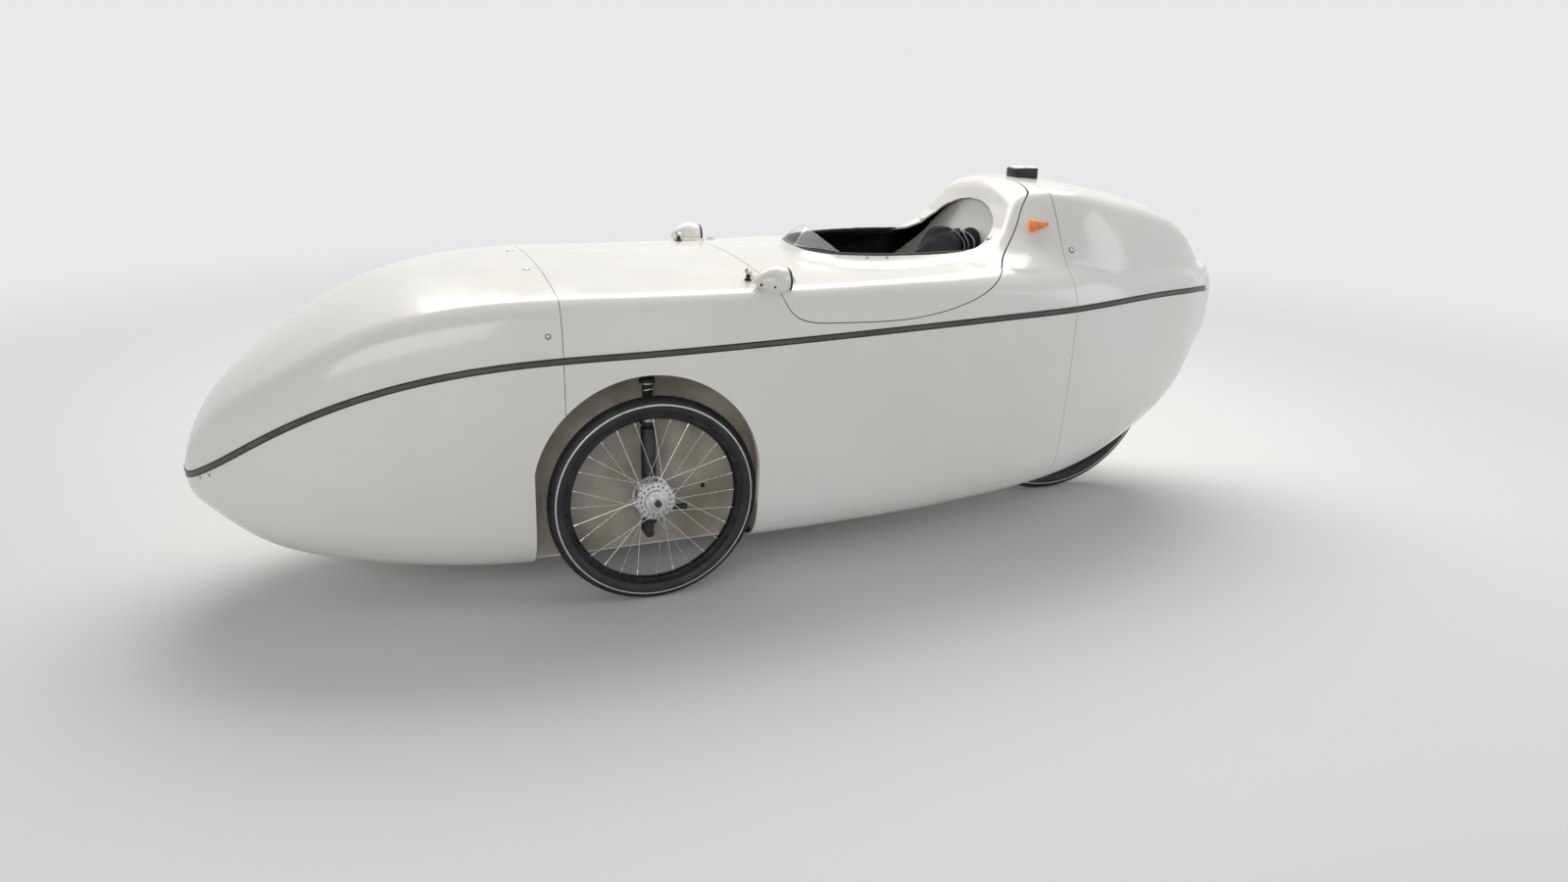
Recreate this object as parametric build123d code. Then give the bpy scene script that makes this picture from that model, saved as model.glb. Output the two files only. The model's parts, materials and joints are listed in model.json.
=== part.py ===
"""Velomobile: a faired three-wheeler with two steered wheels in front and one driven wheel behind.

Millimetres. +X points to the nose, +Y to the left side, +Z up. The origin is on the ground,
under the middle of the length.
"""

import math
import os

from build123d import *

# Driving dimensions
FRONT_AXLE_X = 375
WHEELBASE = 1280
REAR_AXLE_X = FRONT_AXLE_X - WHEELBASE
HALF_TRACK = 335
FRONT_WHEEL_R = 243
REAR_WHEEL_R = 328
WALL = 5
PANEL_GAP = 2
STRIP_HALF = 7.5
STRIP_OFFSETS = (0.5, 2.3)
SEAM_LAP = 8
STRIP_STEPS = 44
HATCH_GAP = 5

# Where the shell is split across its length
NOSE_SPLIT_X = FRONT_AXLE_X + 201
TAIL_SPLIT_X = FRONT_AXLE_X - 1065
NOSE_TIP_X = FRONT_AXLE_X + 987
TAIL_TIP_X = FRONT_AXLE_X - 1742

# Shell sections, from nose to tail. Columns: station x, half width at the seam, deck height, seam height,
# floor height, crown angle, side angle (degrees), shoulder radius, bilge radius.
SHELL_SECTIONS = [
    (NOSE_TIP_X, 33, 341, 303, 262, 20, 64, 16, 22),
    (1305, 143, 466, 351, 215, 20, 64, 46, 90),
    (1195, 241, 569, 424, 160, 18, 66, 58, 130),
    (995, 325, 688, 524, 103, 14, 70, 66, 135),
    (725, 377, 741, 585, 78, 9, 74, 60, 130),
    (425, 388, 743, 595, 75, 8, 76, 46, 120),
    (25, 388, 737, 603, 77, 7, 76, 44, 120),
    (-345, 385, 739, 615, 88, 6, 77, 62, 120),
    (-520, 382, 750, 621, 101, 8, 77, 104, 122),
    (-690, 376, 765, 627, 122, 10, 75, 150, 125),
    (-850, 345, 752, 632, 155, 10, 75, 130, 122),
    (-1005, 292, 727, 630, 208, 12, 76, 80, 115),
    (-1185, 205, 688, 616, 310, 16, 76, 34, 85),
    (-1295, 122, 645, 597, 420, 18, 74, 20, 55),
    (TAIL_TIP_X, 36, 606, 575, 525, 20, 70, 13, 18),
]

# Headrest fairing on the deck. Columns: station x, half width at its foot, foot height, top height,
# crown angle, flank angle, foot angle (degrees), corner radius.
FAIRING_SECTIONS = [
    (-440, 190, 690, 750, 20, 40, 50, 25),
    (-510, 305, 690, 800, 18, 34, 38, 35),
    (-570, 326, 690, 858, 16, 44, 46, 40),
    (-635, 318, 690, 900, 12, 52, 57, 50),
    (-700, 312, 688, 907, 8, 56, 75, 52),
    (-850, 306, 686, 890, 10, 58, 77, 60),
    (-1005, 260, 676, 858, 14, 60, 80, 60),
    (-1185, 183, 646, 778, 18, 62, 82, 50),
    (-1295, 109, 604, 668, 20, 64, 84, 26),
    (TAIL_TIP_X, 33, 576, 614, 20, 64, 86, 15),
]

# Side profile of the cockpit opening: the rim plane, then the raked front face of the fairing
RIM_Z = 752
FACE_PROFILE = [(-495, RIM_Z), (-534, 770), (-566, 800), (-598, 850), (-625, 905), (-635, 960)]

# Plan outline of the opening, left half: arcs as (start, middle, end)
OPENING_FRONT = (-61, 0)
OPENING_ARCS = [
    ((-95, 130), (-195, 185), (-325, 207)),
    ((-325, 207), (-425, 203), (-525, 180)),
    ((-525, 180), (-573, 150), (-591, 100)),
]

# Side outline of the hatch, from its front edge under the mirror round to the top of the fairing
HATCH_TOP_X = FRONT_AXLE_X - 1042
HATCH_OUTLINE = [
    ((92, 722), (62, 660), (-47, 635)),
    ((-47, 635), (-205, 633), (-356, 655)),
    ((-356, 655), (-440, 687), (-510, 728)),
    ((-510, 728), (-566, 775), (-606, 831)),
    ((-606, 831), (-630, 872), (HATCH_TOP_X, 903)),
]
HATCH_HINGE = (136, 744)

# Wheel arches: a circle above, straight down below its centre
ARCH_X = FRONT_AXLE_X + 18
ARCH_Z = 290
ARCH_R = 259
ARCH_FRONT_X = FRONT_AXLE_X + 271
ARCH_REAR_X = ARCH_X - ARCH_R
ARCH_LIP_Y = 368
ARCH_LIP_WALL = 4
WELL_Y = 240
WELL_GROW = 20
WELL_WALL = 4

# Front suspension and steering
KINGPIN_Y = 288
KINGPIN_R = 10
KINGPIN_FOOT_Z = 138
KNUCKLE_Z = (168, 400)
KNUCKLE_R = 17
STRUT_TOP_Z = 581
STRUT_PLATE = (566, 24)
SPRING_R = 19
STUB_R = 8
ARM_R = 11
SUBFRAME_FOOT_Y = 120
RUN = 0.06

# Rear suspension
PIVOT = (-545, 235)
FORK_Y = 58
REAR_AXLE_R = 8
REAR_SLOT = (-1262, -560, 38)
REAR_WELL_Y = 82
REAR_WELL_R = 362
BULKHEAD_LINE = [(-604, 840), (-588, 765), (-556, 668), (-455, 480), (-352, 290), (-322, 60)]

# Wheels. Columns: rim bead radius, rim depth, rim half width, hub half width, hub flange radius,
# spoke count
FRONT_WHEEL = (205, 14, 14, 30, 45, 28)
REAR_WHEEL = (288, 16, 14, 42, 34, 36)
SPOKE_R = 1.1

# Seat: profile line of the back and the pan in the XZ plane, and its half width
SEAT_LINE = [
    (-558, 758), (-543, 735), (-491, 674), (-365, 500), (-235, 280), (-150, 190), (-40, 160), (90, 195),
]
SEAT_HALF_WIDTH = 145
SEAT_THICK = 4
CUSHION_THICK = 34
CUSHION_HALF = 128
CUSHION_TOP = [(128, 650), (0, 773), (-128, 650)]
HEAD_PAD = (-573, 94, 720)
HEAD_PAD_R = 64
HEAD_PAD_THICK = 28
HEAD_PAD_EDGE_R = 8

# Mirrors: centre, length and radius
MIRROR = (94, 350, 731)
MIRROR_LENGTH = 84
MIRROR_R = 32

# Windscreen: corners of the front facet's foot and top, and the rear foot, left half
SCREEN_FOOT = (-68, 50, 758)
SCREEN_TOP = (-111, 16, 797)
SCREEN_REAR = (-140, 160, 758)
SCREEN_THICK = 2

# Lamps
ROOF_LAMP = (-738, 84, 56, 29)
INDICATOR_FRONT = (-618, 236, 812)
INDICATOR_TIP = (-666, 249, 818)
INDICATOR_R = (17, 4)
HEADLIGHT_R = 12
TAIL_LIGHT_R = 15

# Holes in the nose, left and right: point on the skin and its outward direction
NOSE_HOLES = [(1315, 126, 331), (1292, 162, 346)]
NOSE_HOLE_DIR = (0.80, 0.60, -0.12)
NOSE_HOLE_R = 4

# Hatch hinge: pin height and place, pin radius and lug length
HINGE_Y = (272, 300)
HINGE_PIN_R = 4


def arc_step(start_deg, end_deg):
    """Displacement (outwards, downwards) of an arc of radius 1 that turns between two slopes."""
    a, b = math.radians(start_deg), math.radians(end_deg)
    return math.sin(b) - math.sin(a), math.cos(a) - math.cos(b)


def half_section(width, height, crown, side, foot, corner_r):
    """Points of three tangent arcs from the top centre (0, 0) to (width, -height)."""
    top, mid, low = arc_step(0, crown), arc_step(crown, side), arc_step(side, foot)
    right = (width - corner_r * mid[0], height - corner_r * mid[1])
    det = top[0] * low[1] - top[1] * low[0]
    top_r = (right[0] * low[1] - right[1] * low[0]) / det
    low_r = (top[0] * right[1] - top[1] * right[0]) / det
    points = [(0.0, 0.0)]
    for radius, a, b in ((top_r, 0, crown), (corner_r, crown, side), (low_r, side, foot)):
        for part in (0.5, 1.0):
            step = arc_step(a, a + (b - a) * part)
            points.append((points[-1 if part == 0.5 else -2][0] + radius * step[0],
                           points[-1 if part == 0.5 else -2][1] - radius * step[1]))
    return points


def section_wire(x, half, base_z, sign):
    """Closed wire at station x: the half section, its mirror image and a straight base."""
    left = [Vector(x, y, base_z + sign * z) for y, z in half]
    right = [Vector(x, -y, base_z + sign * z) for y, z in half]
    edges = [
        Edge.make_three_point_arc(left[6], left[5], left[4]),
        Edge.make_three_point_arc(left[4], left[3], left[2]),
        Edge.make_three_point_arc(left[2], left[0], right[2]),
        Edge.make_three_point_arc(right[2], right[3], right[4]),
        Edge.make_three_point_arc(right[4], right[5], right[6]),
        Edge.make_line(right[6], left[6]),
    ]
    return Wire(edges)


def upper_loft(inset=0.0):
    """Upper half of the shell, filled, each section drawn in by inset."""
    wires = []
    for x, w, deck, seam, _, crown, side, shoulder, _ in SHELL_SECTIONS:
        base = seam - SEAM_LAP
        half = half_section(w - inset, deck - inset - base, crown, side, 90, shoulder)
        wires.append(section_wire(inset_x(x, inset), half, deck - inset, 1))
    return Solid.make_loft(wires)


def lower_loft(inset=0.0):
    """Lower half of the shell, filled, each section drawn in by inset."""
    wires = []
    for x, w, _, seam, floor, _, side, _, bilge in SHELL_SECTIONS:
        base = seam + SEAM_LAP
        half = half_section(w - inset, base - floor - inset, 8, 82, 90, bilge)
        wires.append(section_wire(inset_x(x, inset), half, floor + inset, -1))
    return Solid.make_loft(wires)


def fairing_loft(inset=0.0):
    """Headrest fairing, filled, each section drawn in by inset."""
    wires = []
    for x, w, foot_z, top, crown, flank, foot, corner in FAIRING_SECTIONS:
        half = half_section(w - inset, top - foot_z, crown, flank, foot, corner)
        wires.append(section_wire(inset_x(x, inset), half, top - inset, 1))
    return Solid.make_loft(wires)


def inset_x(x, inset):
    """Move the two end stations inwards, so that the shell is closed at its tips."""
    if x == NOSE_TIP_X:
        return x - inset
    if x == TAIL_TIP_X:
        return x + inset
    return x


def prism_y(wire_xz, half_width):
    """Solid between y = -half_width and y = half_width over a closed outline in the XZ plane."""
    face = Face(wire_xz).moved(Location((0, -half_width, 0)))
    return Solid.extrude(face, Vector(0, 2 * half_width, 0))


def outline_xz(points):
    """Closed straight outline from (x, z) points."""
    return Wire.make_polygon([Vector(x, 0, z) for x, z in points], close=True)


def slab(x0, x1, y0=-600, y1=600, z0=-50, z1=1100):
    """Box from its two corners."""
    return Solid.make_box(x1 - x0, y1 - y0, z1 - z0, Plane((x0, y0, z0)))


def cylinder_y(x, y0, y1, z, radius):
    """Cylinder along Y."""
    return Solid.make_cylinder(radius, y1 - y0, Plane(origin=(x, y0, z), z_dir=(0, 1, 0)))


def rod(start, end, radius):
    """Round bar between two points."""
    start, end = Vector(start), Vector(end)
    return Solid.make_cylinder(radius, (end - start).length, Plane(origin=start, z_dir=end - start))


def ring_y(profile, x, y, z):
    """Ring about an axle along Y, from a closed (radius, y offset) profile."""
    wire = Wire.make_polygon([Vector(x + r, y + d, z) for r, d in profile], close=True)
    return Solid.revolve(Face(wire), 360, Axis((x, y, z), (0, 1, 0)))


def save(shape, node):
    """Write one node."""
    export_step(shape, f"parts/{node}.step")


def below_seam():
    """Everything below the joint between the upper and the lower panels."""
    wires = []
    for x, _, _, seam, *_ in SHELL_SECTIONS:
        reach = x + (40 if x == NOSE_TIP_X else -40 if x == TAIL_TIP_X else 0)
        corners = [(reach, -500, -80), (reach, 500, -80), (reach, 500, seam), (reach, -500, seam)]
        wires.append(Wire.make_polygon([Vector(*p) for p in corners], close=True))
    return Solid.make_loft(wires)


def face_cutter(offset=0.0):
    """Everything above the rim plane and in front of the fairing's raked face."""
    back = [(x - offset, z - offset * 0.4) for x, z in FACE_PROFILE]
    outline = [(-300, back[0][1]), (-300, 1100), (back[-1][0], 1100)] + back[::-1]
    return prism_y(outline_xz(outline), 420)


def opening_wire(grow=0.0, z=0.0):
    """Plan outline of the opening, grown outwards by an offset."""
    x, y = OPENING_ARCS[0][0]
    edges = [Edge.make_three_point_arc((x, -y, z), (OPENING_FRONT[0], 0, z), (x, y, z))]
    for side in (1, -1):
        for arc in OPENING_ARCS:
            edges.append(Edge.make_three_point_arc(*[(x, side * y, z) for x, y in arc]))
    end = OPENING_ARCS[-1][-1]
    edges.append(Edge.make_line((end[0], end[1], z), (end[0], -end[1], z)))
    wire = Wire(edges)
    return wire.offset_2d(grow) if grow else wire


def opening_prism(grow, z0, z1):
    """Upright prism over the opening's outline."""
    return Solid.extrude(Face(opening_wire(grow, z0)), Vector(0, 0, z1 - z0))


def hatch_prism(shrink=0.0):
    """Space taken by the hatch, drawn in all round by shrink."""
    edges = [Edge.make_three_point_arc(*[(x, 0, z) for x, z in arc]) for arc in HATCH_OUTLINE]
    first, last = HATCH_OUTLINE[0][0], HATCH_OUTLINE[-1][-1]
    edges += [
        Edge.make_line((last[0], 0, last[1]), (last[0], 0, 1100)),
        Edge.make_line((last[0], 0, 1100), (first[0], 0, 1100)),
        Edge.make_line((first[0], 0, 1100), (first[0], 0, first[1])),
    ]
    wire = Wire(edges)
    return prism_y(wire.offset_2d(-shrink) if shrink else wire, 450)


def mirror_y(shape):
    """The same shape on the other side."""
    return shape.mirror(Plane.XZ)


def arch_solid(grow=0.0):
    """Space of the left wheel arch, from the well's inner wall outwards."""
    x0, x1 = ARCH_REAR_X - grow, ARCH_FRONT_X + grow
    y0 = WELL_Y - grow
    round_part = cylinder_y(ARCH_X, y0, 460, ARCH_Z, ARCH_R + grow) & slab(x0, x1, y0, 460)
    return round_part + slab(x0, x1, y0, 460, -50, ARCH_Z)


def build_seam_strip(outer_lower):
    """Flat strip over the joint of the upper and lower panels, round both sides and the nose."""
    nose_x, nose_w, _, nose_z, *_ = SHELL_SECTIONS[0]
    near, far = STRIP_OFFSETS
    seam_edge = outer_lower.edges().filter_by(lambda edge: edge.center().Y > 50)
    seam_edge = max(seam_edge, key=lambda edge: edge.center().Z + edge.length)
    points = sorted((seam_edge.position_at(i / STRIP_STEPS) for i in range(STRIP_STEPS + 1)),
                    key=lambda point: -point.X)
    low, high = nose_z - STRIP_HALF, nose_z + STRIP_HALF
    strip = slab(nose_x + near, nose_x + far, -nose_w - far, nose_w + far, low, high)
    for sign in (1, -1):
        x = nose_x + far
        corners = [(nose_w + near, low), (nose_w + far, low), (nose_w + far, high), (nose_w + near, high)]
        wires = [Wire.make_polygon([Vector(x, sign * y, z) for y, z in corners], close=True)]
        for before, point, after in zip(points, points[1:-2], points[2:]):
            along = (after - before).normalized()
            out = Vector(along.Y, -along.X, 0).normalized()
            inner, outer = point + out * near, point + out * far
            middle = point.Z - SEAM_LAP
            corners = [(inner, middle - STRIP_HALF), (outer, middle - STRIP_HALF),
                       (outer, middle + STRIP_HALF), (inner, middle + STRIP_HALF)]
            wires.append(Wire.make_polygon([Vector(p.X, sign * p.Y, z) for p, z in corners], close=True))
        strip += Solid.make_loft(wires)
    save(largest(strip), "seam_strip")


def build_upper(outer_upper, below):
    """Upper panels and the hatch."""
    inner = upper_loft(WALL) + fairing_loft(WALL) - face_cutter(WALL)
    upper = outer_upper - inner - below
    opening = opening_prism(0, 560, 1000)
    coaming = extrude(Face(opening_wire(26, 722)), RIM_Z - 722, dir=(0, 0, 1), taper=36)
    coaming = (coaming & slab(-470, 40)) - inner
    hatch = ((upper + coaming) & hatch_prism(HATCH_GAP / 2)) - opening
    fixed = upper - hatch_prism(-HATCH_GAP / 2)
    centre = fixed & slab(TAIL_SPLIT_X + PANEL_GAP / 2, NOSE_SPLIT_X - PANEL_GAP / 2)
    save(largest(hatch), "hatch")
    save(largest(fixed & slab(NOSE_SPLIT_X + PANEL_GAP / 2, 1500)), "nose_upper")
    save(largest(centre), "centre_upper")
    save(largest(fixed & slab(-1500, TAIL_SPLIT_X - PANEL_GAP / 2)), "tail_upper")
    return inner


def build_lower(outer_lower, below):
    """Lower panels with the lips of the wheel arches, and the wheel wells."""
    inner = lower_loft(WALL) & below
    lower = (outer_lower & below) - lower_loft(WALL)
    arch = arch_solid()
    lip = (arch_solid(ARCH_LIP_WALL) - arch) & inner & slab(0, 1000, ARCH_LIP_Y, 460)
    lower = lower - arch - mirror_y(arch) + lip + mirror_y(lip)
    x0, x1, half = REAR_SLOT
    lower -= slab(x0, x1, -half, half, -50, 560)
    nose = lower & slab(NOSE_SPLIT_X + PANEL_GAP / 2, 1500)
    for hole in NOSE_HOLES:
        for side in (1, -1):
            point = Vector(hole[0], side * hole[1], hole[2])
            out = Vector(NOSE_HOLE_DIR[0], side * NOSE_HOLE_DIR[1], NOSE_HOLE_DIR[2])
            nose -= rod(point - out * 20, point + out * 20, NOSE_HOLE_R)
    save(largest(nose), "nose_lower")
    save(largest(lower & slab(TAIL_SPLIT_X + PANEL_GAP / 2, NOSE_SPLIT_X - PANEL_GAP / 2)), "centre_lower")
    save(largest(lower & slab(-1500, TAIL_SPLIT_X - PANEL_GAP / 2)), "tail_lower")
    well = (arch_solid(WELL_GROW + WELL_WALL) - arch_solid(WELL_GROW)) & inner
    well -= rod((FRONT_AXLE_X, KINGPIN_Y, 400), (FRONT_AXLE_X, KINGPIN_Y, 600), KINGPIN_R + 2)
    well -= rod((FRONT_AXLE_X, 100, KINGPIN_FOOT_Z), (FRONT_AXLE_X, 270, KINGPIN_FOOT_Z), ARM_R + 3)
    well = largest(well)
    save(well, "wheel_well_left")
    save(mirror_y(well), "wheel_well_right")
    return inner, well


def build_subframe(inner):
    """Beam across the shell that carries the feet of both struts."""
    beam = rod((FRONT_AXLE_X, -KINGPIN_Y, KINGPIN_FOOT_Z), (FRONT_AXLE_X, KINGPIN_Y, KINGPIN_FOOT_Z), ARM_R)
    for sign in (1, -1):
        y = sign * SUBFRAME_FOOT_Y
        beam += slab(FRONT_AXLE_X - 30, FRONT_AXLE_X + 30, y - 12, y + 12, 60, KINGPIN_FOOT_Z) & inner
    save(largest(beam), "front_subframe")


def build_tail_inside(inner):
    """Rear wheel box and the raked panel behind the seat."""
    x = REAR_AXLE_X
    shapes = []
    for grow in (0, -3):
        radius, half = REAR_WELL_R + grow, REAR_WELL_Y + grow
        box = cylinder_y(x, -half, half, REAR_WHEEL_R, radius)
        box += slab(x - radius, x + radius, -half, half, 0, REAR_WHEEL_R)
        shapes.append(box)
    box = (shapes[0] - shapes[1]) & inner
    save(largest(box), "rear_wheel_box")
    panel = sheet_xz(BULKHEAD_LINE, 0, 4, 420) & inner
    save(largest(panel), "seat_back_panel")


def largest(shape):
    """The largest solid of a shape, without stray slivers."""
    return max(shape.solids(), key=lambda solid: solid.volume)


def build_suspension(well):
    """Struts, knuckles and the rear fork."""
    z0, z1 = KNUCKLE_Z
    axle_x, axle_z = FRONT_AXLE_X, FRONT_WHEEL_R
    plate_z, plate_r = STRUT_PLATE
    for side, sign in (("left", 1), ("right", -1)):
        y = sign * KINGPIN_Y
        strut = rod((axle_x, y, KINGPIN_FOOT_Z + ARM_R), (axle_x, y, STRUT_TOP_Z), KINGPIN_R)
        strut += rod((axle_x, y, z1 + 6), (axle_x, y, 520), SPRING_R)
        strut += rod((axle_x, y, plate_z), (axle_x, y, STRUT_TOP_Z), plate_r)
        save(largest(strut - (well if sign > 0 else mirror_y(well))), f"strut_{side}")
        knuckle = rod((axle_x, y, z0), (axle_x, y, z1), KNUCKLE_R)
        knuckle += rod((axle_x, y, axle_z), (axle_x, sign * (HALF_TRACK + 38), axle_z), STUB_R)
        knuckle += rod((axle_x, y, axle_z), (axle_x, sign * (HALF_TRACK - 32), axle_z), 14)
        knuckle += slab(axle_x - 90, axle_x, y - 6, y + 6, 190, 202)
        knuckle -= rod((axle_x, y, 100), (axle_x, y, 450), KINGPIN_R + RUN)
        save(knuckle, f"knuckle_{side}")
    x, z = PIVOT
    fork = cylinder_y(x - 10, -FORK_Y - 12, FORK_Y + 12, z, 14)
    for sign in (1, -1):
        fork += rod((x - 10, sign * FORK_Y, z), (REAR_AXLE_X, sign * FORK_Y, REAR_WHEEL_R), 11)
    fork += cylinder_y(REAR_AXLE_X, -FORK_Y - 14, FORK_Y + 14, REAR_WHEEL_R, REAR_AXLE_R)
    fork -= slab(x - 4, x + 40)
    save(fork, "rear_fork")


def build_wheel(name, x, y, radius, bore_r, sizes):
    """Tyre, rim, hub and spokes of one wheel."""
    bead_r, depth, half, hub_half, flange_r, count = sizes
    tyre_r = (radius - bead_r) / 2 + 1
    centre_r = radius - tyre_r
    tyre = Solid.make_torus(centre_r, tyre_r, Plane(origin=(x, y, radius), z_dir=(0, 1, 0)))
    seat_r = bead_r + 2
    rim_profile = [(bead_r - depth, 4 - half), (seat_r, -half), (seat_r, half), (bead_r - depth, half - 4)]
    rim = ring_y(rim_profile, x, y, radius)
    tyre -= ring_y([(bead_r - 40, -40), (seat_r, -40), (seat_r, 40), (bead_r - 40, 40)], x, y, radius)
    save(tyre, f"tyre_{name}")
    save(rim, f"rim_{name}")
    bore, waist = bore_r + RUN, flange_r - 12
    hub_profile = [
        (bore, -hub_half), (flange_r, -hub_half), (flange_r, 5 - hub_half), (waist, 9 - hub_half),
        (waist, hub_half - 9), (flange_r, hub_half - 5), (flange_r, hub_half), (bore, hub_half),
    ]
    save(ring_y(hub_profile, x, y, radius), f"hub_{name}")
    spokes = []
    inner_r, outer_r = flange_r + 0.2, bead_r - depth
    for i in range(count):
        angle = 2 * math.pi * i / count
        lean = math.radians(18) * (1 if (i // 2) % 2 else -1)
        offset = (hub_half - 3) * (1 if i % 2 else -1)
        tip, root = angle, angle + lean
        start = (x + inner_r * math.cos(root), y + offset, radius + inner_r * math.sin(root))
        end = (x + outer_r * math.cos(tip), y + offset * 0.1, radius + outer_r * math.sin(tip))
        spokes.append(rod(start, end, SPOKE_R))
    save(Compound(spokes), f"spokes_{name}")


def build_cockpit():
    """Rim trim, windscreen, seat, cushion and the panel behind the head."""
    trim = opening_prism(4, RIM_Z - 4, RIM_Z + 5) - opening_prism(-2, RIM_Z - 20, RIM_Z + 20)
    core = opening_prism(4, RIM_Z - 4, RIM_Z) - opening_prism(0, RIM_Z - 20, RIM_Z + 20)
    trim = (trim - core) & slab(-470, 40)
    save(largest(trim), "cockpit_trim")
    save(sheet_xz(SEAT_LINE[2:], 0, SEAT_THICK, SEAT_HALF_WIDTH), "seat_shell")
    near = SEAT_THICK + 0.5
    cushion = sheet_xz(SEAT_LINE[:-1], near, near + CUSHION_THICK, CUSHION_HALF)
    (y0, z0), (y1, z1) = CUSHION_TOP[0], CUSHION_TOP[-1]
    front_view = Wire([
        Edge.make_three_point_arc(*[(-700, y, z) for y, z in CUSHION_TOP]),
        Edge.make_line((-700, y1, z1), (-700, y1, 50)),
        Edge.make_line((-700, y1, 50), (-700, y0, 50)),
        Edge.make_line((-700, y0, 50), (-700, y0, z0)),
    ])
    cushion &= Solid.extrude(Face(front_view), Vector(1000, 0, 0))
    save(largest(cushion), "seat_cushion")
    (x0, z0), (x1, z1) = BULKHEAD_LINE[1:3]
    out = Vector(z0 - z1, 0, x1 - x0).normalized()
    pads = []
    behind = sheet_xz(BULKHEAD_LINE, -40, 4, 420)
    for side in (1, -1):
        foot = Vector(HEAD_PAD[0], side * HEAD_PAD[1], HEAD_PAD[2])
        pad = Solid.make_cylinder(HEAD_PAD_R, HEAD_PAD_THICK, Plane(origin=foot, z_dir=out))
        rim = max(pad.edges(), key=lambda edge: edge.center().X)
        pads.append(largest(pad.fillet(HEAD_PAD_EDGE_R, [rim]) - behind))
    save(Compound(pads), "head_pads")
    foot, top, rear = (Vector(*point) for point in (SCREEN_FOOT, SCREEN_TOP, SCREEN_REAR))
    facets = [[foot, top, flip(top), flip(foot)], [foot, rear, top], [flip(foot), flip(rear), flip(top)]]
    screen = None
    for corners in facets:
        face = Face(Wire.make_polygon(corners, close=True))
        normal = face.normal_at(face.center())
        step = normal * (SCREEN_THICK if normal.X < 0 else -SCREEN_THICK)
        facet = Solid.extrude(face, step)
        screen = facet if screen is None else screen + facet
    save(largest(screen), "windscreen")


def flip(point):
    """Mirror image of a point across the middle plane."""
    return Vector(point.X, -point.Y, point.Z)


def sheet_xz(line, near, far, half_width):
    """Bent sheet along a profile line in the XZ plane, between two offsets towards the front."""
    sides = []
    for offset in (near, far):
        shifted = []
        for i, (x, z) in enumerate(line):
            before, after = line[max(i - 1, 0)], line[min(i + 1, len(line) - 1)]
            dx, dz = after[0] - before[0], after[1] - before[1]
            length = math.hypot(dx, dz)
            shifted.append((x - dz / length * offset, z + dx / length * offset))
        sides.append(shifted)
    return prism_y(outline_xz(sides[0] + sides[1][::-1]), half_width)


def build_mirror(side, sign, clearance):
    """Egg-shaped housing with its glass, on a short foot on the hatch."""
    x, y, z = MIRROR
    rear = x - MIRROR_LENGTH / 2
    tip = x + MIRROR_LENGTH / 2
    profile = Wire([
        Edge.make_three_point_arc((rear, 0, MIRROR_R), (x + 12, 0, MIRROR_R * 0.86), (tip, 0, 0)),
        Edge.make_line((tip, 0, 0), (rear, 0, 0)),
        Edge.make_line((rear, 0, 0), (rear, 0, MIRROR_R)),
    ])
    egg = Solid.revolve(Face(profile), 360, Axis((0, 0, 0), (1, 0, 0)))
    egg = egg.moved(Location((0, sign * y, z))) - clearance
    recess = Plane(origin=(rear - 1, sign * y, z), z_dir=(1, 0, 0))
    egg -= Solid.make_cylinder(MIRROR_R - 3, 7, recess)
    foot = rod((rear + 26, sign * (y - 34), z - 28), (rear + 26, sign * (y - 6), z + 4), 8) - upper_loft()
    save(largest(egg + foot), f"mirror_{side}")
    glass = Plane(origin=(rear + 3, sign * y, z), z_dir=(1, 0, 0))
    save(Solid.make_cylinder(MIRROR_R - 3.2, 3, glass) - clearance, f"mirror_glass_{side}")


def build_hinge(outer_upper):
    """Hinge of the hatch: a pedestal with a pin on the deck, and an arm on the hatch."""
    x, z = HATCH_HINGE
    y0, y1 = HINGE_Y
    middle = (y0 + y1) / 2
    for side, sign in (("left", 1), ("right", -1)):
        ends = sorted((sign * y0, sign * y1))
        pedestal = rod((x + 6, sign * middle, z - 40), (x + 6, sign * middle, z - 14), 12) - outer_upper
        pedestal += slab(x - 5, x + 17, sign * middle - 5, sign * middle + 5, z - 14, z)
        pedestal += cylinder_y(x, ends[0], ends[1], z, HINGE_PIN_R)
        save(largest(pedestal), f"hinge_post_{side}")
        arm = None
        for y in (y0 + 3, y1 - 3):
            ends = sorted((sign * (y - 3), sign * (y + 3)))
            cheek = cylinder_y(x, ends[0], ends[1], z, 9) + slab(x - 76, x, ends[0], ends[1], z - 9, z + 9)
            arm = cheek if arm is None else arm + cheek
        arm += slab(x - 76, x - 24, sign * middle - 12, sign * middle + 12, z - 40, z + 4)
        arm = arm - outer_upper - cylinder_y(x, -400, 400, z, HINGE_PIN_R + RUN)
        save(largest(arm), f"hinge_arm_{side}")


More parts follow.
